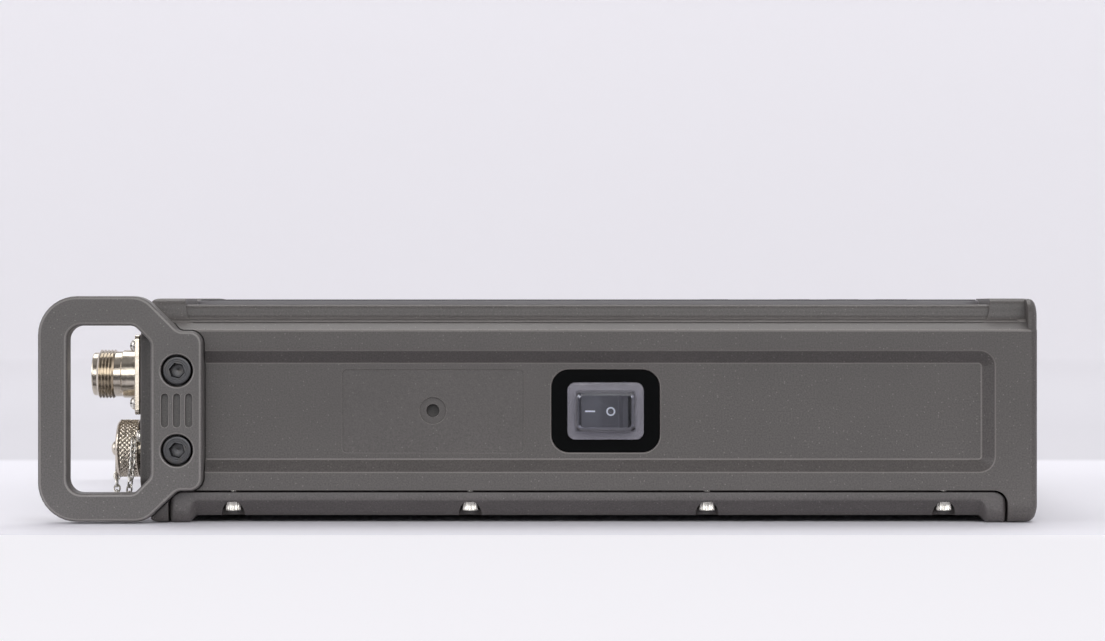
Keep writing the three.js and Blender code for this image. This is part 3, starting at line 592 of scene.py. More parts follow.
housing = shape_with(crown_block(),
                     [crown_gap(-111, 141.6, "XZ", 150), crown_gap(-78, 78, "YZ", 180)])
housing = shape_with(housing, [rim_block()], "UNION")
end_shape = rectangle(-HALF + 0.1, HALF - 0.1, BODY_LOW[2] + 0.1, BODY_HIGH[2] - 0.1, 6.0)
END_X = BODY_HIGH[0]
band_profile = [(3.0, 0.3), (2.0, 0), (1.1, 0.3), (0.45, 1.0), (0.1, 1.9), (0, 2.6)]
end_band = stacked("end_band", end_shape, "YZ",
                   [(END_X - back, inset) for back, inset in band_profile])
end_band = shape_with(end_band, [crown_gap(-78, 78, "YZ", 180)])
housing = shape_with(housing, [end_band], "UNION")
cutters = [side_tray(-1), side_tray(1)]
for side in (-1, 1):
    cutters.append(handle_seat(side))
    for x, z in HANDLE_SCREWS:
        bore = [(side * 99.5, 0), (side * 114, 0)]
        cutters.append(stacked("cutter", (x, z, M5_CLEAR), "XZ", bore, 4))
    for x in COVER_SCREW_X:
        bore = [(5, 0), (17, 0)]
        cutters.append(stacked("cutter", (x, side * COVER_SCREW_Y, M3_CLEAR), "XY", bore, 3))
cover_gap = [(-115.95, -5, 0.1), (146.65, -5, 0.1), (146.65, 10.2, 4.4), (-115.95, 10.2, 4.4)]
cutters.append(stacked("cutter", cover_gap, "XZ", [(-150, 0), (150, 0)]))
for x0, x1, half, low, high in HOLLOWS:
    cutters.append(rounded_plate("cutter", rectangle(x0, x1, -half, half, 3), "XY", low, high))
panel_seat = grown(PANEL_LOW, PANEL_HIGH, 0.3, 6.3)
cutters.append(pocket(panel_seat, "XY", PANEL_LOW[2] - 0.3, LEDGE_Z, 0.15, 6))
for z in PORT_Z:
    cutters.append(stacked("cutter", (PORT_Y, z, 7.2), "YZ", [(-125, 0), (-114, 0)]))
cutters.append(rounded_plate("cutter", rectangle(13, 77, 15, 44, 2), "YZ", -124, -112))
tray_floor = -HALF + TRAY_DEPTH
seat_floor, sink_floor = tray_floor + SEAT_DEPTH, tray_floor + 1.0
cutters.append(pocket(round_switch(17, 13, 5.5), "XZ", -100, tray_floor, 0.4))
cutters.append(pocket(rectangle(*LABEL_SEAT, 1.3), "XZ", seat_floor, tray_floor, 0.12))
cutters.append(pocket((*SEAT_SCREW, 4.2), "XZ", sink_floor, seat_floor, 0.15))
cutters.append(pocket((*SEAT_SCREW, 2.05), "XZ", -108, sink_floor, 0.1))
housing = shape_with(housing, cutters)
# Edge facets painted lighter, for wear and as painted highlight lines, all but on the end band.
mark_wear_and_highlight_edges(housing, beyond_x=END_X - 3.5)
finish_piece(housing, housing_coat, "root", "main_housing")

# ------------------------------------------------------------------------------------------
# Back cover.
# Cast lid with the same powder coat. Its ends stand down as two rails; between them the sides
# lean in under the case, and eight vertical screw bores break out through the lean.
# ------------------------------------------------------------------------------------------

cover_coat = powder_coat("powder_coated_aluminium_cover", "#565251")
COVER_LOW, COVER_HIGH = mm_box("back_cover")


def smooth(value):
    """Smooth step from 0 to 1."""
    value = max(0.0, min(1.0, value))
    return value * value * (3 - 2 * value)


def quarter(distance, radius):
    """How far a rounded end draws in at a distance from that end."""
    if distance >= radius:
        return 0.0
    return radius - math.sqrt(max(radius * radius - (radius - distance) ** 2, 0))


RAIL_LENGTH, RAIL_BLEND = 5.6, 2.6       # flat of an end rail, and its run into the lean


def cover_ring(x):
    """Section of the cover across X: leaning sides in the middle, upright ones on the rails."""
    from_end = min(x - COVER_LOW[0], COVER_HIGH[0] - x)
    rail = 1 - smooth((from_end - RAIL_LENGTH) / RAIL_BLEND)
    half = COVER_HIGH[1] - quarter(from_end, 1.6)
    top = COVER_HIGH[2] - quarter(from_end, 4.0)
    waist, under, lean = 6.9, 2.1, 3.8
    middle = [(0.7, top), (0.25, top - 0.12), (0.04, top - 0.45), (0, min(top - 0.8, waist + 0.3)),
              (0.25, waist - 0.15), (1.1, waist - 1.2), (lean - 0.5, under + 0.75),
              (lean, under + 0.2), (lean + 0.7, under)]
    upright = [(0.7, top), (0.25, top - 0.12), (0.04, top - 0.45),
               (0, min(top - 0.8, 5.5)), (0, 4.2), (0.1, 2.8), (0.55, 1.3), (1.2, 0.45), (2.2, 0)]
    half_ring = [tuple(m + (u - m) * rail for m, u in zip(a, b)) for a, b in zip(middle, upright)]
    right = [(x, half - inset, z) for inset, z in half_ring]
    left = [(x, -half + inset, z) for inset, z in reversed(half_ring)]
    return right + left


def back_cover():
    """Lofted cover with its inner hollow, the handles' seats, screw notches and screw holes."""
    ends = [0, 0.12, 0.4, 0.8, 1.3, 2.0, 3.0, 4.0]
    ends += [RAIL_LENGTH + RAIL_BLEND * i / 10 for i in range(11)]
    stations = [COVER_LOW[0] + d for d in ends] + [COVER_HIGH[0] - d for d in reversed(ends)]
    cover = skin("back_cover_piece", [cover_ring(x) for x in stations])
    cuts = [rounded_plate("cutter", rectangle(-108, 138.5, -104, 104, 3), "XY", 5.1, 12)]
    for side in (-1, 1):
        cuts.append(handle_seat(side))
        for x in COVER_SCREW_X:
            cuts.append(stacked("cutter", (x, side * COVER_SCREW_Y, 3.6),
                                "XY", [(-1, 0), (6.9, 0)], 8))
            cuts.append(stacked("cutter", (x, side * COVER_SCREW_Y, M3_CLEAR),
                                "XY", [(6, 0), (11, 0)], 3))
    return shape_with(cover, cuts)


cover = back_cover()
finish_piece(cover, cover_coat, "root", "back_cover")

# ------------------------------------------------------------------------------------------
# Loop handles.
# Two 8 mm aluminium plates, cut to a loop, with broken edges and the case's powder coat in a
# slightly lighter batch. Each has two counterbores and three grip grooves.
# ------------------------------------------------------------------------------------------

# The same powder from a lighter batch, with a slightly finer sand.
handle_coat = powder_coat("powder_coated_aluminium_handle", "#5e5b59", grain_mm=0.48)


HANDLE_THICK, HANDLE_EDGE = 8, 1.0
M5_HEAD_SEAT, SEAT_SINK = 5.0, 5.4       # counterbore radius and depth
GROOVE_HALF_WIDTH, GROOVE_HALF_LENGTH, GROOVE_DEPTH, GROOVE_STEP = 1.05, 5.2, 1.5, 3.75


def handle_plate(name, side):
    """Loop plate with a rounded opening, two counterbored screw holes and three grip grooves."""
    face = side * mm_box("handle_right")[1][1]
    back = face - side * HANDLE_THICK
    plate = rounded_plate(name, handle_corners(), "XZ", back, face, HANDLE_EDGE, 10, 5)
    opening = [(-146.8, 9.5, 4.4), (-126, 9.5, 3), (-120.9, 14.6, 3),
               (-120.9, 56.6, 3), (-126, 61.7, 3), (-146.8, 61.7, 4.4)]
    turns = [math.radians(90) * i / 5 for i in range(6)]
    lip = 1.0
    inner = [(back - side * 3, -lip)]
    inner += [(back + side * lip * (1 - math.sin(t)), -lip * (1 - math.cos(t)))
              for t in reversed(turns)]
    inner += [(face - side * lip * (1 - math.sin(t)), -lip * (1 - math.cos(t))) for t in turns]
    inner.append((face + side * 3, -lip))
    cuts = [stacked("cutter", opening, "XZ", inner, 8)]
    for x, z in HANDLE_SCREWS:
        cuts.append(pocket((x, z, M5_HEAD_SEAT), "XZ", face - side * SEAT_SINK, face, 0.55, 3, 10))
        cuts.append(stacked("cutter", (x, z, M5_CLEAR), "XZ", [(back - side, 0), (face, 0)], 5))
    groove_z = (HANDLE_SCREWS[0][1] + HANDLE_SCREWS[1][1]) / 2
    for shift in (-GROOVE_STEP, 0, GROOVE_STEP):
        x = HANDLE_SCREWS[0][0] + shift
        shape = rectangle(x - GROOVE_HALF_WIDTH, x + GROOVE_HALF_WIDTH,
                          groove_z - GROOVE_HALF_LENGTH, groove_z + GROOVE_HALF_LENGTH, 1.04)
        cuts.append(pocket(shape, "XZ", face - side * GROOVE_DEPTH, face, 0.28, 3, 6))
    return shape_with(plate, cuts)


for name, side in (("handle_left", -1), ("handle_right", 1)):
    plate = handle_plate(name + "_piece", side)
    # Painted highlight lines, with wear, on the innermost edge facets that face along Y.
    mark_wear_and_highlight_edges(plate, facing=1)
    finish_piece(plate, handle_coat, "root", name)

# ------------------------------------------------------------------------------------------
# Handle screws.
# M5 socket head cap screws in black oxide, two in each loop handle. Oiled black steel looks
# smooth and half glossy, and the turned head has a fine straight knurl.
# ------------------------------------------------------------------------------------------


def worn_metal(name, colour, roughness, scratch_mm=0.5, dirt="#3a3836",
               bump_mm=0.01, cavity_mm=0.8):
    """Plated or oxidised steel: fine turning marks, small stains, uneven polish and painted shade
    in its hollows.
    """
    material, tree, shader = new_surface(name, colour, 1.0, roughness)
    where = add_node(tree, "ShaderNodeTexCoord").outputs["Object"]
    stretch = add_node(tree, "ShaderNodeMapping", {"Vector": where, "Scale": (6, 1, 1)})
    marks = add_node(tree, "ShaderNodeTexNoise", {
        "Vector": stretch.outputs["Vector"], "Scale": 1 / (scratch_mm * MM), "Detail": 3.0})
    stains = add_node(tree, "ShaderNodeTexNoise",
                      {"Vector": where, "Scale": 1 / (2.2 * MM), "Detail": 4.0})
    stained = add_node(tree, "ShaderNodeMapRange", {
        "Value": stains.outputs["Fac"], "From Min": 0.5, "From Max": 0.72, "To Max": 0.35})
    tint = add_node(tree, "ShaderNodeMix", {
        0: stained.outputs["Result"], 6: (*linear(colour), 1), 7: (*linear(dirt), 1)},
        data_type="RGBA")
    # Painted shade: hollows and creases within cavity_mm get their colour darkened, down to about
    # an eighth.
    cavity = add_node(tree, "ShaderNodeAmbientOcclusion", {"Distance": cavity_mm * MM}, samples=4)
    depth = add_node(tree, "ShaderNodeMapRange", {
        "Value": cavity.outputs["AO"], "From Min": 0.15, "From Max": 0.75, "To Min": 0.12})
    painted_cavity_shade = add_node(tree, "ShaderNodeMix", {
        0: 1.0, 6: tint.outputs[2], 7: depth.outputs["Result"]}, data_type="RGBA",
        blend_type="MULTIPLY")
    tree.links.new(painted_cavity_shade.outputs[2], shader.inputs["Base Color"])
    rough = add_node(tree, "ShaderNodeMapRange", {
        "Value": marks.outputs["Fac"], "From Min": 0.3, "From Max": 0.7,
        "To Min": roughness * 0.75, "To Max": roughness * 1.35})
    tree.links.new(rough.outputs["Result"], shader.inputs["Roughness"])
    bump = add_node(tree, "ShaderNodeBump", {
        "Height": marks.outputs["Fac"], "Strength": 0.25, "Distance": bump_mm * MM})
    tree.links.new(bump.outputs["Normal"], shader.inputs["Normal"])
    return material


class Rule:
    """A Geometry Nodes tree with named inputs, run on a base mesh and made a plain mesh."""

    def __init__(self, name):
        self.tree = bpy.data.node_groups.new(name, "GeometryNodeTree")
        self.names = {}
        self.tree.interface.new_socket("Geometry", in_out="INPUT", socket_type="NodeSocketGeometry")
        self.tree.interface.new_socket("Geometry", in_out="OUTPUT",
                                       socket_type="NodeSocketGeometry")
        self.start = self.tree.nodes.new("NodeGroupInput")

    def value(self, name, kind="NodeSocketFloat"):
        """A named input; returns the socket that brings it into the tree."""
        socket = self.tree.interface.new_socket(name, in_out="INPUT", socket_type=kind)
        self.names[name] = socket.identifier
        return self.start.outputs[name]

    def node(self, kind, inputs=None, **settings):
        """A node of this tree."""
        return add_node(self.tree, kind, inputs, **settings)

    def maths(self, operation, *values):
        """One Math node over numbers or sockets."""
        return self.node("ShaderNodeMath", dict(enumerate(values)), operation=operation).outputs[0]

    def end(self, geometry, material):
        """Realize Instances, then Set Material, then the output."""
        real = self.node("GeometryNodeRealizeInstances", {"Geometry": geometry})
        set_it = self.node("GeometryNodeSetMaterial", {
            "Geometry": real.outputs["Geometry"], "Material": material})
        out = self.tree.nodes.new("NodeGroupOutput")
        self.tree.links.new(set_it.outputs["Geometry"], out.inputs["Geometry"])

    def run(self, piece, **values):
        """Runs the tree on a piece with its inputs set, and keeps the result as a plain mesh."""
        modifier = piece.modifiers.new("rule", "NODES")
        modifier.node_group = self.tree
        for name, value in values.items():
            modifier[self.names[name.replace("_", " ")]] = value
        bpy.context.view_layer.update()
        depsgraph = bpy.context.evaluated_depsgraph_get()
        mesh = bpy.data.meshes.new_from_object(piece.evaluated_get(depsgraph))
        piece.modifiers.clear()
        piece.data = mesh
        return piece


def screw_rows_rule():
    """Knurls a screw that points along +Z and sets copies of it on a grid."""
    rule = Rule("screw_rows")
    shape = rule.start.outputs["Geometry"]
    material = rule.value("Material", "NodeSocketMaterial")
    teeth, depth = rule.value("Teeth"), rule.value("Knurl depth")
    knurl_low = rule.value("Knurl low")
    knurl_high, knurl_from = rule.value("Knurl high"), rule.value("Knurl from radius")
    count_x, count_y = rule.value("Count X",
                                  "NodeSocketInt"), rule.value("Count Y", "NodeSocketInt")
    span_x, span_y = rule.value("Span X"), rule.value("Span Y")
    turn, centre = rule.value("Turn", "NodeSocketVector"), rule.value("Centre", "NodeSocketVector")
    grid_turn = rule.value("Grid turn", "NodeSocketVector")
    place = rule.node("GeometryNodeInputPosition").outputs[0]
    parts = rule.node("ShaderNodeSeparateXYZ", {"Vector": place}).outputs
    angle = rule.maths("ARCTAN2", parts["Y"], parts["X"])
    reach = rule.maths("SQRT", rule.maths("ADD", rule.maths("MULTIPLY", parts["X"], parts["X"]),
                                          rule.maths("MULTIPLY", parts["Y"], parts["Y"])))
    wave = rule.maths("MULTIPLY_ADD", rule.maths("COSINE", rule.maths("MULTIPLY", angle, teeth)),
                      0.5, -0.5)
    inside = rule.maths("MULTIPLY", rule.maths("GREATER_THAN", parts["Z"], knurl_low),
                        rule.maths("LESS_THAN", parts["Z"], knurl_high))
    inside = rule.maths("MULTIPLY", inside, rule.maths("GREATER_THAN", reach, knurl_from))
    push = rule.maths("MULTIPLY", rule.maths("MULTIPLY", wave, depth), inside)
    flat = rule.node("ShaderNodeCombineXYZ", {"X": parts["X"], "Y": parts["Y"]})
    outward = rule.node("ShaderNodeVectorMath", {0: flat.outputs[0]},
                        operation="NORMALIZE").outputs[0]
    offset = rule.node("ShaderNodeVectorMath", {0: outward, "Scale": push},
                       operation="SCALE").outputs[0]
    knurled = rule.node("GeometryNodeSetPosition", {"Geometry": shape, "Offset": offset})
    grid = rule.node("GeometryNodeMeshGrid", {
        "Size X": span_x, "Size Y": span_y, "Vertices X": count_x, "Vertices Y": count_y})
    turned_grid = rule.node("GeometryNodeTransform", {
        "Geometry": grid.outputs["Mesh"], "Translation": centre, "Rotation": grid_turn})
    copies = rule.node("GeometryNodeInstanceOnPoints", {
        "Points": turned_grid.outputs["Geometry"], "Instance": knurled.outputs["Geometry"],
        "Rotation": turn})
    rule.end(copies.outputs["Instances"], material)
    return rule


def turned(name, profile, sides, axis="Z", centre=(0, 0, 0)):
    """Closed turned piece from (height, radius) pairs; a radius of nearly 0 closes an end."""
    rings = []
    for height, radius in profile:
        ring = []
        for k in range(sides):
            angle = 2 * math.pi * k / sides
            a, b = max(radius, 0.01) * math.cos(angle), max(radius, 0.01) * math.sin(angle)
            point = {"Z": (a, b, height), "X": (height, a, b), "Y": (a, height, b)}[axis]
            ring.append(tuple(p + c for p, c in zip(point, centre)))
        rings.append(ring)
    return skin(name, rings)


def cap_screw(name, head, height, drive, drive_depth, shank, length, edge=0.25, sides=96):
    """Socket head screw along +Z with the face of its head at zero."""
    turns = [math.radians(90) * i / 3 for i in range(4)]
    end = -height - length
    profile = [(end, 0), (end, shank), (-height, shank), (-height, head - 0.1),
               (-height + 0.15, head), (-height + 0.3, head), (-edge - 0.12, head)]
    profile += [(-edge * (1 - math.sin(t)), head - edge * (1 - math.cos(t))) for t in turns]
    profile += [(-0.02, head * 0.8), (-0.14, head * 0.78), (-0.14, head * 0.66),
                (-0.02, head * 0.64), (0, 0)]
    body = turned(name, profile, sides)
    flare = [(-drive_depth, drive), (-0.3, drive), (0.05, drive * 1.14), (1, drive * 1.14)]
    hexagon = turned("cutter", flare, 6)
    cone = turned("cutter", [(-drive_depth - 0.5, 0), (-drive_depth + 0.1, drive * 0.8)], 24)
    return shape_with(body, [hexagon, cone])


screw_rows = screw_rows_rule()
# Oiled black oxide on steel: dark, half glossy, browner where it has worn; painted shade
# darkens the hex sockets and other hollows.
black_oxide = worn_metal("black_oxide_steel", "#4a4a4c", 0.36, dirt="#5c5750", cavity_mm=1.6)
handle_screw_z = [z for _, z in HANDLE_SCREWS]
for row, side in ((0, -1), (1, 1)):
    first, last = f"handle_screw_{2 * row + 1}", f"handle_screw_{2 * row + 2}"
    face = mm_box(first)[0 if side < 0 else 1][1]
    screws = cap_screw(f"handle_screws_{'near' if side < 0 else 'far'}", head=4.45, height=4.7,
                       drive=2.3, drive_depth=3.0, shank=2.5, length=14.8, edge=0.4)
    screw_rows.run(
        screws, Material=black_oxide, Teeth=36.0, Knurl_depth=0.16 * MM, Knurl_low=-4.5 * MM,
        Knurl_high=-0.5 * MM, Knurl_from_radius=4.3 * MM, Count_X=1, Count_Y=2, Span_X=0.0,
        Span_Y=(handle_screw_z[1] - handle_screw_z[0]) * MM, Grid_turn=(math.radians(90), 0, 0),
        Turn=(math.radians(90) * -side, math.radians(12), 0),
        Centre=[HANDLE_SCREWS[0][0] * MM, face * MM, sum(handle_screw_z) / 2 * MM])
    finish_piece(screws, black_oxide, "root", first, last, crease=40)

# ------------------------------------------------------------------------------------------
# Back cover screws and gasket.
# Eight M3 stainless cap screws go up into the case from below; their bright knurled heads show
# in the cut-outs of the leaning sides. The gasket is a black silicone cord in its groove.
# ------------------------------------------------------------------------------------------

# Bright stainless steel, turned: glossy with fine marks round the head.
stainless = worn_metal("stainless_steel_a2", "#d9d6cf", 0.24, dirt="#8f8a80")
head_low = mm_box("cover_screw_1")[0][2]
cover_screws = cap_screw("cover_screws", head=2.75, height=3.0, drive=1.45,
                         drive_depth=1.3, shank=1.5, length=9.3, edge=0.22)
screw_rows.run(
    cover_screws, Material=stainless, Teeth=30.0, Knurl_depth=0.2 * MM, Knurl_low=-2.75 * MM,
    Knurl_high=-0.3 * MM, Knurl_from_radius=2.6 * MM, Count_X=4, Count_Y=2,
    Span_X=(COVER_SCREW_X[-1] - COVER_SCREW_X[0]) * MM, Span_Y=2 * COVER_SCREW_Y * MM,
    Grid_turn=(0, 0, 0), Turn=(math.radians(180), 0, 0),
    Centre=[sum(COVER_SCREW_X) / 4 * MM, 0, head_low * MM])
finish_piece(cover_screws, stainless, "root", *[f"cover_screw_{i}" for i in range(1, 9)], crease=40)


def moulded(name, colour, roughness=0.5, grain_mm=0.4, bump_mm=0.02, spread=0.08, **more):
    """Moulded plastic or rubber: fine spark-eroded grain, slight colour drift, uneven gloss."""
    material, tree, shader = new_surface(name, colour, roughness=roughness, **more)
    where = add_node(tree, "ShaderNodeTexCoord").outputs["Object"]
    grain = add_node(tree, "ShaderNodeTexNoise", {
        "Vector": where, "Scale": 1 / (grain_mm * MM), "Detail": 2.0})
    drift = add_node(tree, "ShaderNodeTexNoise",
                     {"Vector": where, "Scale": 1 / (9 * MM), "Detail": 3.0})
    base = Vector(linear(colour))
    tint = add_node(tree, "ShaderNodeMix", {
        0: drift.outputs["Fac"], 6: (*(base * (1 - spread)), 1), 7: (*(base * (1 + spread)), 1)},
        data_type="RGBA")
    tree.links.new(tint.outputs[2], shader.inputs["Base Color"])
    rough = add_node(tree, "ShaderNodeMapRange", {
        "Value": grain.outputs["Fac"], "From Min": 0.3, "From Max": 0.7,
        "To Min": roughness * 0.85, "To Max": min(1.0, roughness * 1.15)})
    tree.links.new(rough.outputs["Result"], shader.inputs["Roughness"])
    bump = add_node(tree, "ShaderNodeBump", {
        "Height": grain.outputs["Fac"], "Strength": 0.3, "Distance": bump_mm * MM})
    tree.links.new(bump.outputs["Normal"], shader.inputs["Normal"])
    return material


def dress(material, slot, *nodes):
    """Gives CAD nodes whose shape is right their finished material."""
    for node in nodes:
        shown = bpy.data.objects[node]
        shown.data.materials.clear()
        shown.data.materials.append(material)


# Black silicone cord: matt and even.
silicone = moulded("silicone_rubber_black", "#1b1b1c", 0.7, grain_mm=0.6)
dress(silicone, "seal_rubber", "cover_gasket")

# ------------------------------------------------------------------------------------------
# Front panel and touch glass.
# A painted bezel stands a little proud of the rim and carries a black overlay film round the
# keys and the display. The glass is a black-bordered sheet, optically clear over the display.
# ------------------------------------------------------------------------------------------

# Grey paint on the bezel, and a matt polycarbonate film printed black: both have a fine grain.
bezel_paint = moulded("painted_bezel_grey", "#7b797b", 0.5, grain_mm=0.5, bump_mm=0.04)
film_black = moulded("overlay_film_black", "#1d1e21", 0.42, grain_mm=0.35, bump_mm=0.03)
KEY_SHAPES = {body: mm_box(body) for body in frame["bodies"]
              if body.startswith(("soft_key", "menu_key", "key_"))}
KEY_FLANGE = 0.8                         # the foot of a keycap is this much wider than its top
GLASS_LOW, GLASS_HIGH = mm_box("touch_glass")


def key_holes(low, high, clear=0.35):
    """Cutters for the key holes, with a clearance round the top of each keycap."""
    return [pocket(grown(*shape, clear - KEY_FLANGE, 2.8), "XY", low, high, 0.12, 2, 5)
            for shape in KEY_SHAPES.values()]


glass_seat = grown(GLASS_LOW, GLASS_HIGH, 0.3, 4)
view_shape = rectangle(-94, 36, -87, 87, 2)
panel_shape = grown(PANEL_LOW, PANEL_HIGH, 0, 6)
film_z = PANEL_HIGH[2] - 0.35
bezel = rounded_plate("front_bezel", panel_shape, "XY", PANEL_LOW[2], film_z, 0.3, 10)
bezel_cuts = [pocket(glass_seat, "XY", GLASS_LOW[2] - 0.3, film_z, 0.0),
              stacked("cutter", view_shape, "XY", [(60, 0), (75, 0)])]
bezel = shape_with(bezel, bezel_cuts + key_holes(60, film_z))
finish_piece(bezel, bezel_paint, "root", "front_panel")
film_shape = grown(PANEL_LOW, PANEL_HIGH, -0.9, 5.2)
film = rounded_plate("overlay_film", film_shape, "XY", film_z, PANEL_HIGH[2], 0.1, 10)
film = shape_with(film, [pocket(glass_seat, "XY", 60, PANEL_HIGH[2], 0.1)]
                  + key_holes(60, PANEL_HIGH[2]))
finish_piece(film, film_black, "root")


def cover_glass():
    """Strengthened glass, printed black behind its border; finger marks dull its gloss a little."""
    material, tree, shader = new_surface("strengthened_glass_black_print",
                                         "#050608", roughness=0.05,
                                         Coat_Weight=0.3, Coat_Roughness=0.02)
    where = add_node(tree, "ShaderNodeTexCoord").outputs["Object"]
    smear = add_node(tree, "ShaderNodeTexNoise",
                     {"Vector": where, "Scale": 1 / (24 * MM), "Detail": 5.0})
    rough = add_node(tree, "ShaderNodeMapRange", {
        "Value": smear.outputs["Fac"], "From Min": 0.4, "From Max": 0.75,
        "To Min": 0.04, "To Max": 0.16})
    tree.links.new(rough.outputs["Result"], shader.inputs["Roughness"])
    spot = add_node(tree, "ShaderNodeSeparateXYZ", {"Vector": where})
    inside_x = add_node(tree, "ShaderNodeMath", {0: add_node(tree, "ShaderNodeMath", {
        0: spot.outputs["X"], 1: 29 * MM}, operation="ADD").outputs[0], 1: 0.0, 2: 64 * MM},
        operation="COMPARE")
    inside_y = add_node(tree, "ShaderNodeMath", {0: spot.outputs["Y"], 1: 0.0, 2: 85 * MM},
                        operation="COMPARE")
    inside = add_node(tree, "ShaderNodeMath", {0: inside_x.outputs[0], 1: inside_y.outputs[0]},
                      operation="MULTIPLY")
    tint = add_node(tree, "ShaderNodeMix", {
        0: inside.outputs[0], 6: (*linear("#050608"), 1), 7: (*linear("#14171b"), 1)},
        data_type="RGBA")
    tree.links.new(tint.outputs[2], shader.inputs["Base Color"])
    return material


glass_shape = grown(GLASS_LOW, GLASS_HIGH, 0, 3.7)
glass = rounded_plate("touch_screen", glass_shape, "XY", GLASS_LOW[2], GLASS_HIGH[2], 0.35, 10)
finish_piece(glass, cover_glass(), "root", "touch_glass")

# ------------------------------------------------------------------------------------------
# Keys.
# Silicone keycaps pressed up through the film: six pale soft keys along the display, three
# menu keys, four arrow keys and an enter key. Symbols are printed and stand just proud.
# ------------------------------------------------------------------------------------------

# Silicone rubber, matt with a soft grain; the symbols are a thin opaque white print.
soft_rubber = moulded("silicone_key_pale_grey", "#8e9093", 0.62, grain_mm=0.3, bump_mm=0.03)
key_rubber = moulded("silicone_key_dark_grey", "#4b4c50", 0.62, grain_mm=0.3, bump_mm=0.03)
key_print = moulded("key_print_white", "#e3e4e6", 0.55)
PRINT_THICK = 0.04
ARROWS = {"key_up": 180, "key_down": 0, "key_left": -90, "key_right": 90}


def keycap(name, low, high):
    """Rounded cap on the thin flange that keeps it under the film."""
    foot = rounded_plate(name, grown(low, high, 0, 3.3), "XY", low[2], low[2] + 0.8, 0.2)
    cap_shape = grown(low, high, -KEY_FLANGE, 2.5)
    cap = rounded_plate("cap", cap_shape, "XY", low[2] + 0.5, high[2], 0.8, 8, 5)
    return shape_with(foot, [cap], "UNION")


def symbol(name, x, y, z):
    """Printed mark of a key: an arrow head, a ring for enter, or one to three bars for menus."""
    marks = []
    if name in ARROWS:
        turn = math.radians(ARROWS[name])
        corners = [(2.2, 0), (-1.4, 2.4), (-1.4, -2.4)]
        shape = [(x + a * math.cos(turn) - b * math.sin(turn),
                  y + a * math.sin(turn) + b * math.cos(turn), 0.2) for a, b in corners]
        marks.append(shape)
    elif name == "key_enter":
        sides = ((-2.4, -1.8), (1.8, 2.4))
        marks += [rectangle(x + a, x + b, y - 2.4, y + 2.4, 0.2) for a, b in sides]
        marks += [rectangle(x - 1.6, x + 1.6, y + a, y + b, 0.2) for a, b in sides]
    else:
        count = int(name[-1])
        for i in range(count):
            place = y + (i - (count - 1) / 2) * 3
            marks.append(rectangle(x - 0.35, x + 0.35, place - 1.1, place + 1.1, 0.2))
    return [rounded_plate("mark", shape, "XY", z - 0.2, z + PRINT_THICK, 0, 2) for shape in marks]


for name, (low, high) in KEY_SHAPES.items():
    soft = name.startswith("soft")
    high = [high[0], high[1], high[2] - PRINT_THICK]
    cap = keycap(name + "_cap", low, high)
    finish_piece(cap, soft_rubber if soft else key_rubber, name, name)
    if not soft:
        marks = symbol(name, (low[0] + high[0]) / 2, (low[1] + high[1]) / 2, high[2])
        printed = marks[0]
        for other in marks[1:]:
            shape_with(printed, [other], "UNION")
        printed.name = name + "_print"
        finish_piece(printed, key_print, name)

# ------------------------------------------------------------------------------------------
# Connector end plate.
# Powder-coated plate screwed inside the handles, with round-edged holes for the two ports and
# a doorway for the sockets.
# ------------------------------------------------------------------------------------------

plate_low, plate_high = mm_box("connector_panel")
door_low, door_high = mm_box("socket_door")
plate_shape = rectangle(plate_low[1], plate_high[1], plate_low[2], plate_high[2], 4)
end_plate = rounded_plate("connector_plate", plate_shape, "YZ", plate_high[0], plate_low[0], 0.4, 8)
outer = plate_low[0]
SCREW_SPACING = 18.26                    # square of the flange's four screws
FLANGE_SCREWS = [(PORT_Y + a * SCREW_SPACING / 2, PORT_Z[0] + b * SCREW_SPACING / 2)
                 for a in (-1, 1) for b in (-1, 1)]
chain_low, chain_high = mm_box("chain_screw")
CHAIN_SCREW = ((chain_low[1] + chain_high[1]) / 2, (chain_low[2] + chain_high[2]) / 2)
plate_cuts = [pocket((PORT_Y, z, 7.0), "YZ", plate_high[0] + 2, outer, 0.25, 3, 8) for z in PORT_Z]
plate_cuts += [pocket((y, z, 1.2), "YZ", plate_high[0] + 2, outer, 0, 3, 3)
               for y, z in FLANGE_SCREWS + [CHAIN_SCREW]]
plate_cuts.append(pocket(rectangle(13.6, 76.4, 16.6, 43.4, 2), "YZ",
                         plate_high[0] + 2, outer, 0.25))
end_plate = shape_with(end_plate, plate_cuts)
# Edge facets painted lighter, for wear and as a painted highlight.
mark_wear_and_highlight_edges(end_plate)
finish_piece(end_plate, housing_coat, "root", "connector_panel")

# ------------------------------------------------------------------------------------------
# Ports.
# Two N type sockets in nickel-plated brass, turned, with a 5/8 inch thread of 24 turns to the
# inch. The upper one is held by a square flange and four stainless pan-head screws.
# ------------------------------------------------------------------------------------------

# Bright nickel on brass, warm and glossy with fine turning marks; gold on the spring contacts.
nickel = worn_metal("nickel_plated_brass", "#cdc4b6", 0.2, scratch_mm=0.8, dirt="#7d7263")
gold = worn_metal("gold_plated_contact", "#d9ab55", 0.22, dirt="#8a6a30")
white_insert = moulded("ptfe_insert", "#dcdad4", 0.4, grain_mm=0.5)


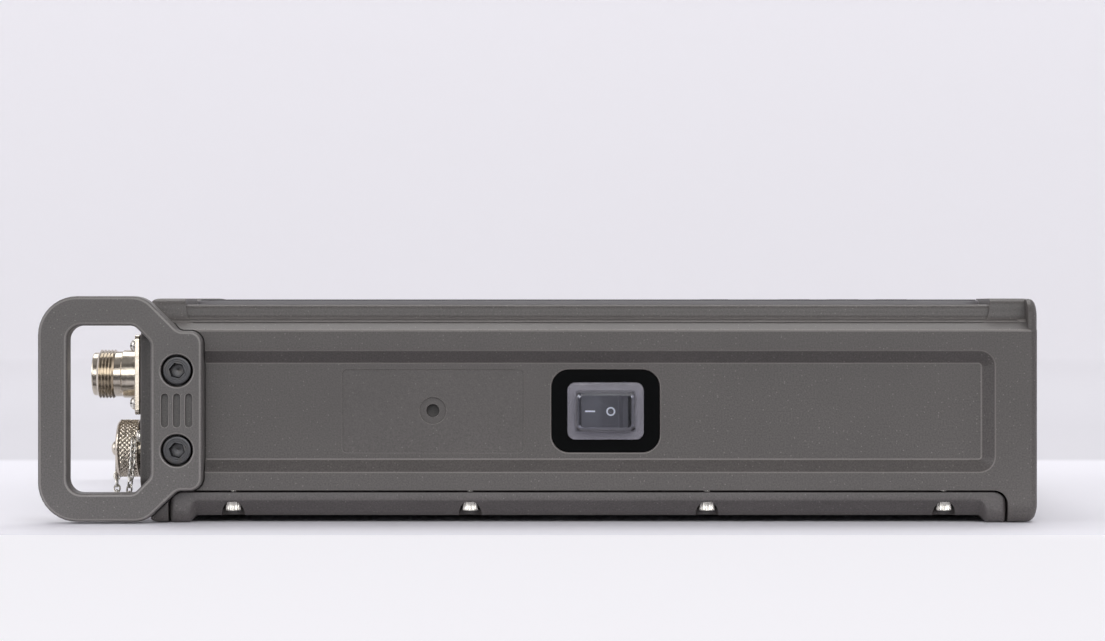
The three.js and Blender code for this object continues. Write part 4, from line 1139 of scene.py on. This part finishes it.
def thread_rule():
    """Helical ridge along +X, thinned away at both ends."""
    rule = Rule("thread_ridge")
    material = rule.value("Material", "NodeSocketMaterial")
    radius, turns, length = rule.value("Radius"), rule.value("Turns"), rule.value("Length")
    ridge, start = rule.value("Ridge"), rule.value("Start", "NodeSocketVector")
    helix = rule.node("GeometryNodeCurveSpiral", {
        "Resolution": 40, "Rotations": turns, "Start Radius": radius, "End Radius": radius,
        "Height": length})
    upright = rule.node("GeometryNodeSetCurveNormal",
                        {"Curve": helix.outputs["Curve"]}, mode="Z_UP")
    along = rule.node("GeometryNodeSplineParameter").outputs["Factor"]
    near_end = rule.maths("MINIMUM", along, rule.maths("SUBTRACT", 1.0, along))
    taper = rule.maths("MINIMUM", rule.maths("MULTIPLY", near_end, 9.0), 1.0)
    thick = rule.node("GeometryNodeSetCurveRadius", {
        "Curve": upright.outputs["Curve"], "Radius": rule.maths("MAXIMUM", taper, 0.03)})
    section = rule.node("GeometryNodeCurvePrimitiveCircle", {"Resolution": 4, "Radius": ridge})
    swept = rule.node("GeometryNodeCurveToMesh", {
        "Curve": thick.outputs["Curve"], "Profile Curve": section.outputs["Curve"],
        "Fill Caps": True})
    laid = rule.node("GeometryNodeTransform", {
        "Geometry": swept.outputs["Mesh"], "Rotation": (0, math.radians(90), 0),
        "Translation": start})
    rule.end(laid.outputs["Geometry"], material)
    return rule


def blank(name):
    """Object with an empty mesh, for a rule to fill."""
    made = bpy.data.objects.new(name, bpy.data.meshes.new(name))
    scene.collection.objects.link(made)
    return made


PITCH = 25.4 / 24
thread_ridge = thread_rule()
z1, z2 = PORT_Z
port_axis = (0, PORT_Y, z1)
profile = [(-110, 0), (-110, 2.4), (-113, 2.4), (-113, 6.6), (-128.3, 6.6), (-128.3, 7.45),
           (-128.5, 7.7), (-133.4, 7.7), (-133.7, 7.45), (-133.8, 7.25), (-135.9, 7.25),
           (-136.2, 7.2), (-141, 7.2), (-141.4, 6.9), (-142.8, 6.9), (-143.1, 6.7), (-143.2, 6.4),
           (-143.2, 4.5), (-143, 4.3), (-134.2, 4.3), (-134.2, 0)]
port_one = turned("upper_port", profile, 96, "X", port_axis)
FLANGE_HALF, FLANGE_FACE = 12.7, -128.4  # a 25.4 mm square, and its outer face
flange_shape = rectangle(PORT_Y - FLANGE_HALF, PORT_Y + FLANGE_HALF, z1 - FLANGE_HALF,
                         z1 + FLANGE_HALF, 1.5)
flange = rounded_plate("flange", flange_shape, "YZ", -126.9, FLANGE_FACE, 0.2, 6)
flange = shape_with(flange, [pocket((y, z, 1.6), "YZ", -126, FLANGE_FACE, 0.15, 2, 4)
                             for y, z in FLANGE_SCREWS])
port_one = shape_with(port_one, [flange], "UNION")
finish_piece(port_one, nickel, "root", "port1_connector")
ridge = thread_ridge.run(
    blank("upper_port_thread"), Material=nickel, Radius=7.3 * MM,
    Turns=4.6, Length=4.6 * PITCH * MM, Ridge=0.58 * MM, Start=(-0.1411, PORT_Y * MM, z1 * MM))
finish_piece(ridge, nickel, "root", crease=25)

profile = [(-110, 0), (-110, 2.4), (-113, 2.4), (-113, 6.7), (-132.7, 6.7),
           (-133.0, 6.55), (-133.2, 6.3), (-133.2, 4.5), (-133.0, 4.3), (-125.2, 4.3), (-125.2, 0)]
port_two = turned("lower_port", profile, 64, "X", (0, PORT_Y, z2))
finish_piece(port_two, nickel, "root", "port2_connector")
dress(nickel, "nickel_plate", "port2_nut")

for number, (deep, mouth, z) in enumerate([(-134.4, -142.0, z1), (-125.4, -132.0, z2)], 1):
    pin_profile = [(deep, 0), (deep, 1.3), (mouth + 0.3, 1.3), (mouth, 1.1), (mouth, 0.75),
                   (mouth + 3, 0.75), (mouth + 3.1, 0)]
    pin = turned(f"contact_{number}_pin", pin_profile, 32, "X", (0, PORT_Y, z))
    slits = [rounded_plate("cutter", rectangle(PORT_Y - a, PORT_Y + a, z - b, z + b, 0.02), "YZ",
                           mouth + 2.6, mouth - 1, 0, 2) for a, b in ((0.11, 2), (2, 0.11))]
    pin = shape_with(pin, slits)
    finish_piece(pin, gold, "root", f"port{number}_contact")
    bead_profile = [(deep + 0.9, 1.35), (deep + 0.9, 4.2), (deep - 0.1, 4.25), (deep - 0.1, 1.35)]
    bead = turned(f"contact_{number}_insert", bead_profile, 40, "X", (0, PORT_Y, z))
    finish_piece(bead, white_insert, "root")


def pan_screw(name):
    """Small pan-head screw along +Z, head face up, cross recess."""
    profile = [(-5.2, 0), (-5.2, 0.85), (0, 0.85), (0, 1.9), (0.15, 2.0), (0.6, 1.95), (1.0, 1.72),
               (1.3, 1.3), (1.45, 0.8), (1.5, 0)]
    body = turned(name, profile, 40)
    arms = []
    for a, b in ((1.05, 0.22), (0.22, 1.05)):
        arms.append(stacked("cutter", rectangle(-a, a, -b, b, 0.05), "XY",
                            [(0.7, 0.08), (2, -0.05)], 2))
    return shape_with(body, arms)


flange_screws = pan_screw("flange_screws")
screw_seat = mm_box("port1_screw_1")[0][0] + 1.5
quarter_turn = math.radians(90)
screw_rows.run(
    flange_screws, Material=stainless, Count_X=2, Count_Y=2, Span_X=SCREW_SPACING * MM,
    Span_Y=SCREW_SPACING * MM, Grid_turn=(0, quarter_turn, 0), Turn=(0.5, -quarter_turn, 0),
    Centre=[screw_seat * MM, PORT_Y * MM, z1 * MM])
finish_piece(flange_screws, stainless, "root", *[f"port1_screw_{i}" for i in range(1, 5)],
             crease=40)
chain_fixing = pan_screw("chain_fixing_screw")
screw_rows.run(
    chain_fixing, Material=stainless, Count_X=1, Count_Y=1, Turn=(0.2, -quarter_turn, 0),
    Centre=[(chain_low[0] + 1.5) * MM, CHAIN_SCREW[0] * MM, CHAIN_SCREW[1] * MM])
finish_piece(chain_fixing, stainless, "root", "chain_screw", crease=40)

# ------------------------------------------------------------------------------------------
# Dust cap.
# Nickel-plated brass cap with a diamond knurl, screwed on the lower port. A riveted tab swivels
# on its face and a short oval-link chain ties the tab to the end plate.
# ------------------------------------------------------------------------------------------


def knurl_rule():
    """Raised diamonds round a drum whose axis is X, between two stations."""
    rule = Rule("diamond_knurl")
    material = rule.value("Material", "NodeSocketMaterial")
    around, pitch, depth = rule.value("Around"), rule.value("Pitch"), rule.value("Depth")
    low, high, fade = rule.value("Low"), rule.value("High"), rule.value("Fade")
    from_radius = rule.value("From radius")
    axis_y, axis_z = rule.value("Axis Y"), rule.value("Axis Z")
    place = rule.node("GeometryNodeInputPosition").outputs[0]
    parts = rule.node("ShaderNodeSeparateXYZ", {"Vector": place}).outputs
    y, z = rule.maths("SUBTRACT", parts["Y"], axis_y), rule.maths("SUBTRACT", parts["Z"], axis_z)
    turn = rule.maths("MULTIPLY", rule.maths("ARCTAN2", z, y),
                      rule.maths("DIVIDE", around, 2 * math.pi))
    along = rule.maths("DIVIDE", rule.maths("SUBTRACT", parts["X"], low), pitch)
    ridges = [rule.maths("PINGPONG", rule.maths(sign, turn, along), 0.5)
              for sign in ("ADD", "SUBTRACT")]
    height = rule.maths("MULTIPLY", rule.maths("MINIMUM", *ridges), 2.0)
    reach = rule.maths("SQRT", rule.maths("ADD", rule.maths("MULTIPLY", y, y),
                                          rule.maths("MULTIPLY", z, z)))
    outside = rule.maths("GREATER_THAN", reach, from_radius)
    near = rule.maths("MINIMUM", rule.maths("SUBTRACT", parts["X"], low),
                      rule.maths("SUBTRACT", high, parts["X"]))
    band = rule.node("ShaderNodeClamp", {"Value": rule.maths("DIVIDE", near, fade)}).outputs[0]
    push = rule.maths("MULTIPLY",
                      rule.maths("MULTIPLY", rule.maths("SUBTRACT", height, 1.0), depth),
                      rule.maths("MULTIPLY", outside, band))
    flat = rule.node("ShaderNodeCombineXYZ", {"Y": y, "Z": z})
    outward = rule.node("ShaderNodeVectorMath", {0: flat.outputs[0]},
                        operation="NORMALIZE").outputs[0]
    offset = rule.node("ShaderNodeVectorMath", {0: outward, "Scale": push},
                       operation="SCALE").outputs[0]
    cut = rule.node("GeometryNodeSetPosition", {
        "Geometry": rule.start.outputs["Geometry"], "Offset": offset})
    rule.end(cut.outputs["Geometry"], material)
    return rule


cap_low, cap_high = mm_box("dust_cap_shell")
front, rear = cap_low[0], cap_high[0]
rows = [rear - 0.5 - (rear - front - 1.5) * i / 30 for i in range(31)]
profile = [(front + 1.6, 0), (front + 1.6, 7.1), (rear - 0.3, 7.1), (rear, 7.4), (rear, 8.9),
           (rear - 0.3, 9.3)]
profile += [(x, 9.3) for x in rows]
profile += [(front + 0.75, 9.2), (front + 0.3, 8.85), (front + 0.08, 8.5),
            (front, 8.1), (front, 1.5), (front + 0.9, 1.5), (front + 0.9, 0)]
cap_shell = turned("dust_cap", profile, 240, "X", (0, PORT_Y, z2))
knurl_rule().run(
    cap_shell, Material=nickel, Around=40.0, Pitch=1.45 * MM, Depth=0.42 * MM,
    Low=(front + 0.95) * MM, High=(rear - 0.5) * MM, Fade=0.3 * MM, From_radius=9.0 * MM,
    Axis_Y=PORT_Y * MM, Axis_Z=z2 * MM)
finish_piece(cap_shell, nickel, "dust_cap_shell", "dust_cap_shell", crease=35)

tab_low = mm_box("dust_cap_swivel")[0]
EYE_Z = 13.8
tab_shape = [(PORT_Y - 1.6, tab_low[2], 1.2), (PORT_Y + 1.6, tab_low[2], 1.2),
             (PORT_Y + 2.4, z2 + 2.4, 2), (PORT_Y - 2.4, z2 + 2.4, 2)]
tab = rounded_plate("swivel_tab", tab_shape, "YZ", front - 0.3, front - 0.9, 0.15, 6)
rivet_profile = [(front + 1.4, 0), (front + 1.4, 1.1), (-135.7, 1.1), (-135.7, 2.2), (-136.1, 2.4),
                 (-136.6, 2.3), (-137.1, 1.85), (-137.45, 1.2), (-137.58, 0.5), (-137.6, 0)]
rivet = turned("rivet", rivet_profile, 40, "X", (0, PORT_Y, z2))
tab = shape_with(tab, [rivet], "UNION")
tab = shape_with(tab, [pocket((PORT_Y, EYE_Z, 0.8), "YZ", front, front - 0.9, 0.12, 2, 5)])
finish_piece(tab, nickel, "dust_cap_swivel", "dust_cap_swivel")


def chain_rule():
    """Oval wire links threaded along the base curve, each turned a quarter on the last."""
    rule = Rule("chain_links")
    material = rule.value("Material", "NodeSocketMaterial")
    step, wire = rule.value("Step"), rule.value("Wire")
    inner_length, inner_width = rule.value("Link length"), rule.value("Link width")
    route = rule.node("GeometryNodeMeshToCurve", {"Mesh": rule.start.outputs["Geometry"]})
    spaced = rule.node("GeometryNodeCurveToPoints",
                       {"Curve": route.outputs["Curve"], "Length": step}, mode="LENGTH")
    ring = rule.node("GeometryNodeCurvePrimitiveCircle", {"Resolution": 20, "Radius": 1.0})
    oval = rule.node("GeometryNodeTransform", {
        "Geometry": ring.outputs["Curve"],
        "Scale": rule.node("ShaderNodeCombineXYZ",
                           {"X": inner_width, "Y": 1.0, "Z": 1.0}).outputs[0],
        "Rotation": (math.radians(90), 0, 0)})
    longer = rule.node("GeometryNodeTransform", {
        "Geometry": oval.outputs["Geometry"],
        "Scale": rule.node("ShaderNodeCombineXYZ",
                           {"X": 1.0, "Y": 1.0, "Z": inner_length}).outputs[0]})
    section = rule.node("GeometryNodeCurvePrimitiveCircle", {"Resolution": 8, "Radius": wire})
    link = rule.node("GeometryNodeCurveToMesh", {
        "Curve": longer.outputs["Geometry"], "Profile Curve": section.outputs["Curve"]})
    index = rule.node("GeometryNodeInputIndex").outputs[0]
    twist = rule.node("ShaderNodeCombineXYZ", {
        "Z": rule.maths("MULTIPLY", rule.maths("MODULO", index, 2.0), math.radians(90))})
    turned_link = rule.node("FunctionNodeRotateRotation", {
        0: spaced.outputs["Rotation"], 1: twist.outputs[0]}, rotation_space="LOCAL")
    copies = rule.node("GeometryNodeInstanceOnPoints", {
        "Points": spaced.outputs["Points"], "Instance": link.outputs["Mesh"],
        "Rotation": turned_link.outputs[0]})
    rule.end(copies.outputs["Instances"], material)
    return rule


def smooth_route(points, count):
    """Catmull-Rom curve through points, as a list of points in metres."""
    given = [Vector(p) * MM for p in points]
    given = [given[0] * 2 - given[1]] + given + [given[-1] * 2 - given[-2]]
    path = []
    for i in range(1, len(given) - 2):
        p0, p1, p2, p3 = given[i - 1:i + 3]
        for k in range(count):
            t = k / count
            path.append(0.5 * ((2 * p1) + (p2 - p0) * t + (2 * p0 - 5 * p1 + 4 * p2 - p3) * t * t
                               + (3 * p1 - p0 - 3 * p2 + p3) * t ** 3))
    path.append(given[-2])
    return path


CHAIN_ROUTE = [(-135.9, PORT_Y, 13.3), (-135.9, -89.3, 11.0), (-135.5, -91, 8.4),
               (-134.2, -95, 6.6), (-132.2, -99.3, 6.4), (-130.3, -101.6, 9),
               (-129.4, -102.6, 14.5), (-129, -102.4, 19.5), (-128.9, -100.9, 24.6)]
chain = blank("cap_chain")
path = smooth_route(CHAIN_ROUTE, 8)
chain.data.from_pydata(path, [(i, i + 1) for i in range(len(path) - 1)], [])
chain_rule().run(chain, Material=stainless, Step=2.15 * MM, Wire=0.31 * MM, Link_length=1.5 * MM,
                 Link_width=0.92 * MM)
chain.data.shade_smooth()
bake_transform(chain)
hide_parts("dust_cap_chain")

# ------------------------------------------------------------------------------------------
# Power switch.
# Grey nylon rocker and collar in a matt black surround, under a clear silicone boot that keeps
# water out. A bar and a ring are printed on the rocker in white.
# ------------------------------------------------------------------------------------------

# Black polycarbonate, almost without gloss, so that the pocket stays black.
surround_black = moulded("polycarbonate_black", "#060708", 0.5, grain_mm=0.3, bump_mm=0.01,
                         Specular_IOR_Level=0.04)
surround_low, surround_high = mm_box("switch_surround")
surround_shape = rectangle(surround_low[0] - 0.3, surround_high[0] + 0.3, surround_low[2] - 0.3,
                           surround_high[2] + 0.3, 5.5)
surround_face = surround_low[1] - 0.2
surround = rounded_plate("switch_frame", surround_shape, "XZ", surround_high[1],
                         surround_face, 0.15, 10)
surround = shape_with(surround,
                      [pocket(round_switch(9.9, 6.9, 1.4), "XZ", -100, surround_face, 0.2)])
finish_piece(surround, surround_black, "root", "switch_surround")
dress(surround_black, "switch_black", "switch_body")

# Grey nylon, half matt, for the collar and the rocker.
rocker_grey = moulded("nylon_grey", "#7e7a79", 0.5, grain_mm=0.3, bump_mm=0.03)
collar = rounded_plate("switch_collar", round_switch(8.93, 5.95, 0.8), "XZ", -109, -112.9, 0.15, 4)
collar = shape_with(collar, [pocket(round_switch(8.25, 5.6, 0.4), "XZ", -100, -112.9, 0.1)])
finish_piece(collar, rocker_grey, "root")
rocker_low, rocker_high = mm_box("switch_rocker")
half_z = (rocker_high[2] - rocker_low[2]) / 2
rocker_section = [(-7.9, -112.6, 0.5), (-1.6, -113.0, 6), (4.3, -115.3, 0.4), (5.4, -111.9, 0.4),
                  (7.9, -111.4, 0.3), (1.5, -108.7, 0.3), (-1.5, -108.7, 0.3), (-7.9, -110.2, 0.3)]
rocker_profile = [(SWITCH_X + x, y, r) for x, y, r in rocker_section]
rocker = rounded_plate("rocker", rocker_profile, "XY", SWITCH_Z - half_z,
                       SWITCH_Z + half_z, 0.35, 6)
finish_piece(rocker, rocker_grey, "switch_rocker", "switch_rocker")

# White print of the marks, with a weak painted glow so that they read bright through the boot.
mark_white_glowing = moulded("marking_white_painted_glow", "#fafafa", 0.5, Emission_Color=(1, 1, 1, 1),
                     Emission_Strength=0.35)


def face_y(x):
    """Near face of the rocker at a place along it."""
    near = [(x0, y0) for x0, y0, _ in rocker_profile[:3]]
    for (x0, y0), (x1, y1) in zip(near, near[1:]):
        if x <= x1:
            return y0 + (y1 - y0) * (x - x0) / (x1 - x0)
    return near[-1][1]


def face_ring(points, lift):
    """Points in X and Z laid on the rocker's face and lifted off it."""
    return [(x, face_y(x) - lift, z) for x, z in points]


def circle(x, z, radius, count=40):
    """Points of a circle."""
    turns = [2 * math.pi * k / count for k in range(count)]
    return [(x + radius * math.cos(t), z + radius * math.sin(t)) for t in turns]


bar = [(14.5, 34.55), (17.6, 34.55), (17.6, 35.05), (14.5, 35.05)]
bar_mark = skin("rocker_marks", [face_ring(bar, -0.1), face_ring(bar, 0.05)])
RING_X, RING_Z, RING_RADIUS, RING_LINE = 22.5, 34.8, 1.4, 0.48
outer_ring = circle(RING_X, RING_Z, RING_RADIUS)
inner_ring = circle(RING_X, RING_Z, RING_RADIUS - RING_LINE)
ring_mark = skin("ring", [face_ring(outer_ring, -0.1), face_ring(outer_ring, 0.05)])
ring_mark = shape_with(ring_mark,
                       [skin("cutter", [face_ring(inner_ring, -1), face_ring(inner_ring, 1)])])
bar_mark = shape_with(bar_mark, [ring_mark], "UNION")
finish_piece(bar_mark, mark_white_glowing, "switch_rocker")


def clear_boot():
    """Clear silicone: mostly see-through, a milky tint and a glossy skin."""
    material = bpy.data.materials.new("silicone_rubber_clear")
    material.use_nodes = True
    tree = material.node_tree
    tree.nodes.remove(tree.nodes["Principled BSDF"])
    where = add_node(tree, "ShaderNodeTexCoord").outputs["Object"]
    haze = add_node(tree, "ShaderNodeTexNoise",
                    {"Vector": where, "Scale": 1 / (3 * MM), "Detail": 3.0})
    bump = add_node(tree, "ShaderNodeBump", {
        "Height": haze.outputs["Fac"], "Strength": 0.25, "Distance": 0.1 * MM})
    clear = add_node(tree, "ShaderNodeBsdfTransparent", {"Color": (*linear("#eceef3"), 1)})
    milk = add_node(tree, "ShaderNodeBsdfDiffuse", {
        "Color": (*linear("#d6d3dc"), 1), "Normal": bump.outputs["Normal"]})
    shine = add_node(tree, "ShaderNodeBsdfGlossy", {
        "Color": (*linear("#e8e8ec"), 1), "Roughness": 0.06, "Normal": bump.outputs["Normal"]})
    spot = add_node(tree, "ShaderNodeSeparateXYZ", {"Vector": where})
    over = []
    for axis, centre, half in (("X", SWITCH_X, 8.9), ("Z", SWITCH_Z, 5.9)):
        off = add_node(tree, "ShaderNodeMath", {0: spot.outputs[axis], 1: centre * MM},
        operation="SUBTRACT")
        size = add_node(tree, "ShaderNodeMath", {0: off.outputs[0]}, operation="ABSOLUTE")
        over.append(add_node(tree, "ShaderNodeMath", {0: size.outputs[0], 1: half * MM},
        operation="SUBTRACT"))
    rim = add_node(tree, "ShaderNodeMath", {0: over[0].outputs[0], 1: over[1].outputs[0]},
                   operation="MAXIMUM")
    tint = add_node(tree, "ShaderNodeMapRange", {
        "Value": rim.outputs[0], "From Min": -0.3 * MM, "From Max": 0.6 * MM,
        "To Min": 0.01, "To Max": 0.3})
    body = add_node(tree, "ShaderNodeMixShader", {
        "Fac": tint.outputs["Result"], 1: clear.outputs[0], 2: milk.outputs[0]})
    edge = add_node(tree, "ShaderNodeFresnel", {"IOR": 1.41, "Normal": bump.outputs["Normal"]})
    skin_mix = add_node(tree, "ShaderNodeMixShader", {
        "Fac": edge.outputs[0], 1: body.outputs[0], 2: shine.outputs[0]})
    tree.links.new(skin_mix.outputs[0], tree.nodes["Material Output"].inputs["Surface"])
    return material


boot_low, boot_high = mm_box("switch_boot")
boot_shape = rectangle(boot_low[0], boot_high[0], boot_low[2], boot_high[2], 2.6)
boot = rounded_plate("switch_boot_clear", boot_shape, "XZ", boot_high[1],
                     boot_high[1] - 1.4, 0.6, 8)
dome_profile = [(-113, 0), (-116.2, 0.1), (-117.0, 0.45), (-117.4, 1.0), (boot_low[1], 1.9)]
dome = stacked("dome", round_switch(9.8, 6.8, 2.6), "XZ", dome_profile, 8)
boot = shape_with(boot, [dome], "UNION")
hollow_profile = [(-110, 0), (-116.0, 0.1), (-116.9, 1.0)]
boot = shape_with(boot, [stacked("cutter", round_switch(9.0, 6.0, 2.0), "XZ", hollow_profile, 8)])
finish_piece(boot, clear_boot(), "root", "switch_boot")

# ------------------------------------------------------------------------------------------
# Sockets and their door.
# A black nylon block holds the power, data and network sockets behind a soft rubber door that
# hinges on its lower edge.
# ------------------------------------------------------------------------------------------

# Black glass-filled nylon and a softer, matter rubber for the door.
nylon_black = moulded("nylon_black", "#202124", 0.5, grain_mm=0.35, bump_mm=0.04)
dress(nylon_black, "switch_black", "socket_block")
door_rubber = moulded("door_rubber_black", "#2b2b2d", 0.78, grain_mm=0.5, bump_mm=0.06)
leaf_shape = rectangle(door_low[1], door_high[1], door_low[2], door_high[2], 1.6)
leaf_front = door_low[0] + 1.6
door = rounded_plate("door_leaf", leaf_shape, "YZ", door_high[0], leaf_front, 0.5, 6)
middle = (door_low[1] + door_high[1]) / 2
lip_shape = rectangle(middle - 6, middle + 6, door_high[2] - 4.5, door_high[2] - 2, 1.1)
lip = rounded_plate("lip", lip_shape, "YZ", leaf_front + 0.8, door_low[0], 0.5, 6)
door = shape_with(door, [lip], "UNION")
sunk_shape = rectangle(door_low[1] + 3, door_high[1] - 3, door_low[2] + 3, door_high[2] - 6.4, 1.5)
door = shape_with(door, [pocket(sunk_shape, "YZ", leaf_front + 0.35, leaf_front, 0.15)])
finish_piece(door, door_rubber, "socket_door", "socket_door")

# ------------------------------------------------------------------------------------------
# Electronics.
# Display, keypad mat, main board, shielded radio module, battery and coaxial leads are hidden
# in the closed case. Their CAD shapes stay and get their real finishes.
# ------------------------------------------------------------------------------------------

# Pressed aluminium, green solder mask, tinned steel, shrink wrap and bare copper, as supplied.
dress(worn_metal("display_frame_aluminium", "#9ea0a4", 0.42), "display_frame", "lcd_module")
dress(key_rubber, "key_rubber", "keypad_mat")
dress(moulded("solder_mask_green", "#14552f", 0.35, grain_mm=1.2, bump_mm=0.05, spread=0.25),
      "circuit_board", "main_board")
dress(worn_metal("tinned_steel_shield", "#c3c3c4", 0.35, scratch_mm=1.5), "shield_can", "rf_module")
dress(moulded("shrink_wrap_blue_black", "#262b36", 0.4, grain_mm=6, bump_mm=0.3), "battery_wrap",
      "battery_pack")
dress(worn_metal("semi_rigid_coax_copper", "#b98a55", 0.3), "coax_jacket",
      "port1_coax", "port2_coax")
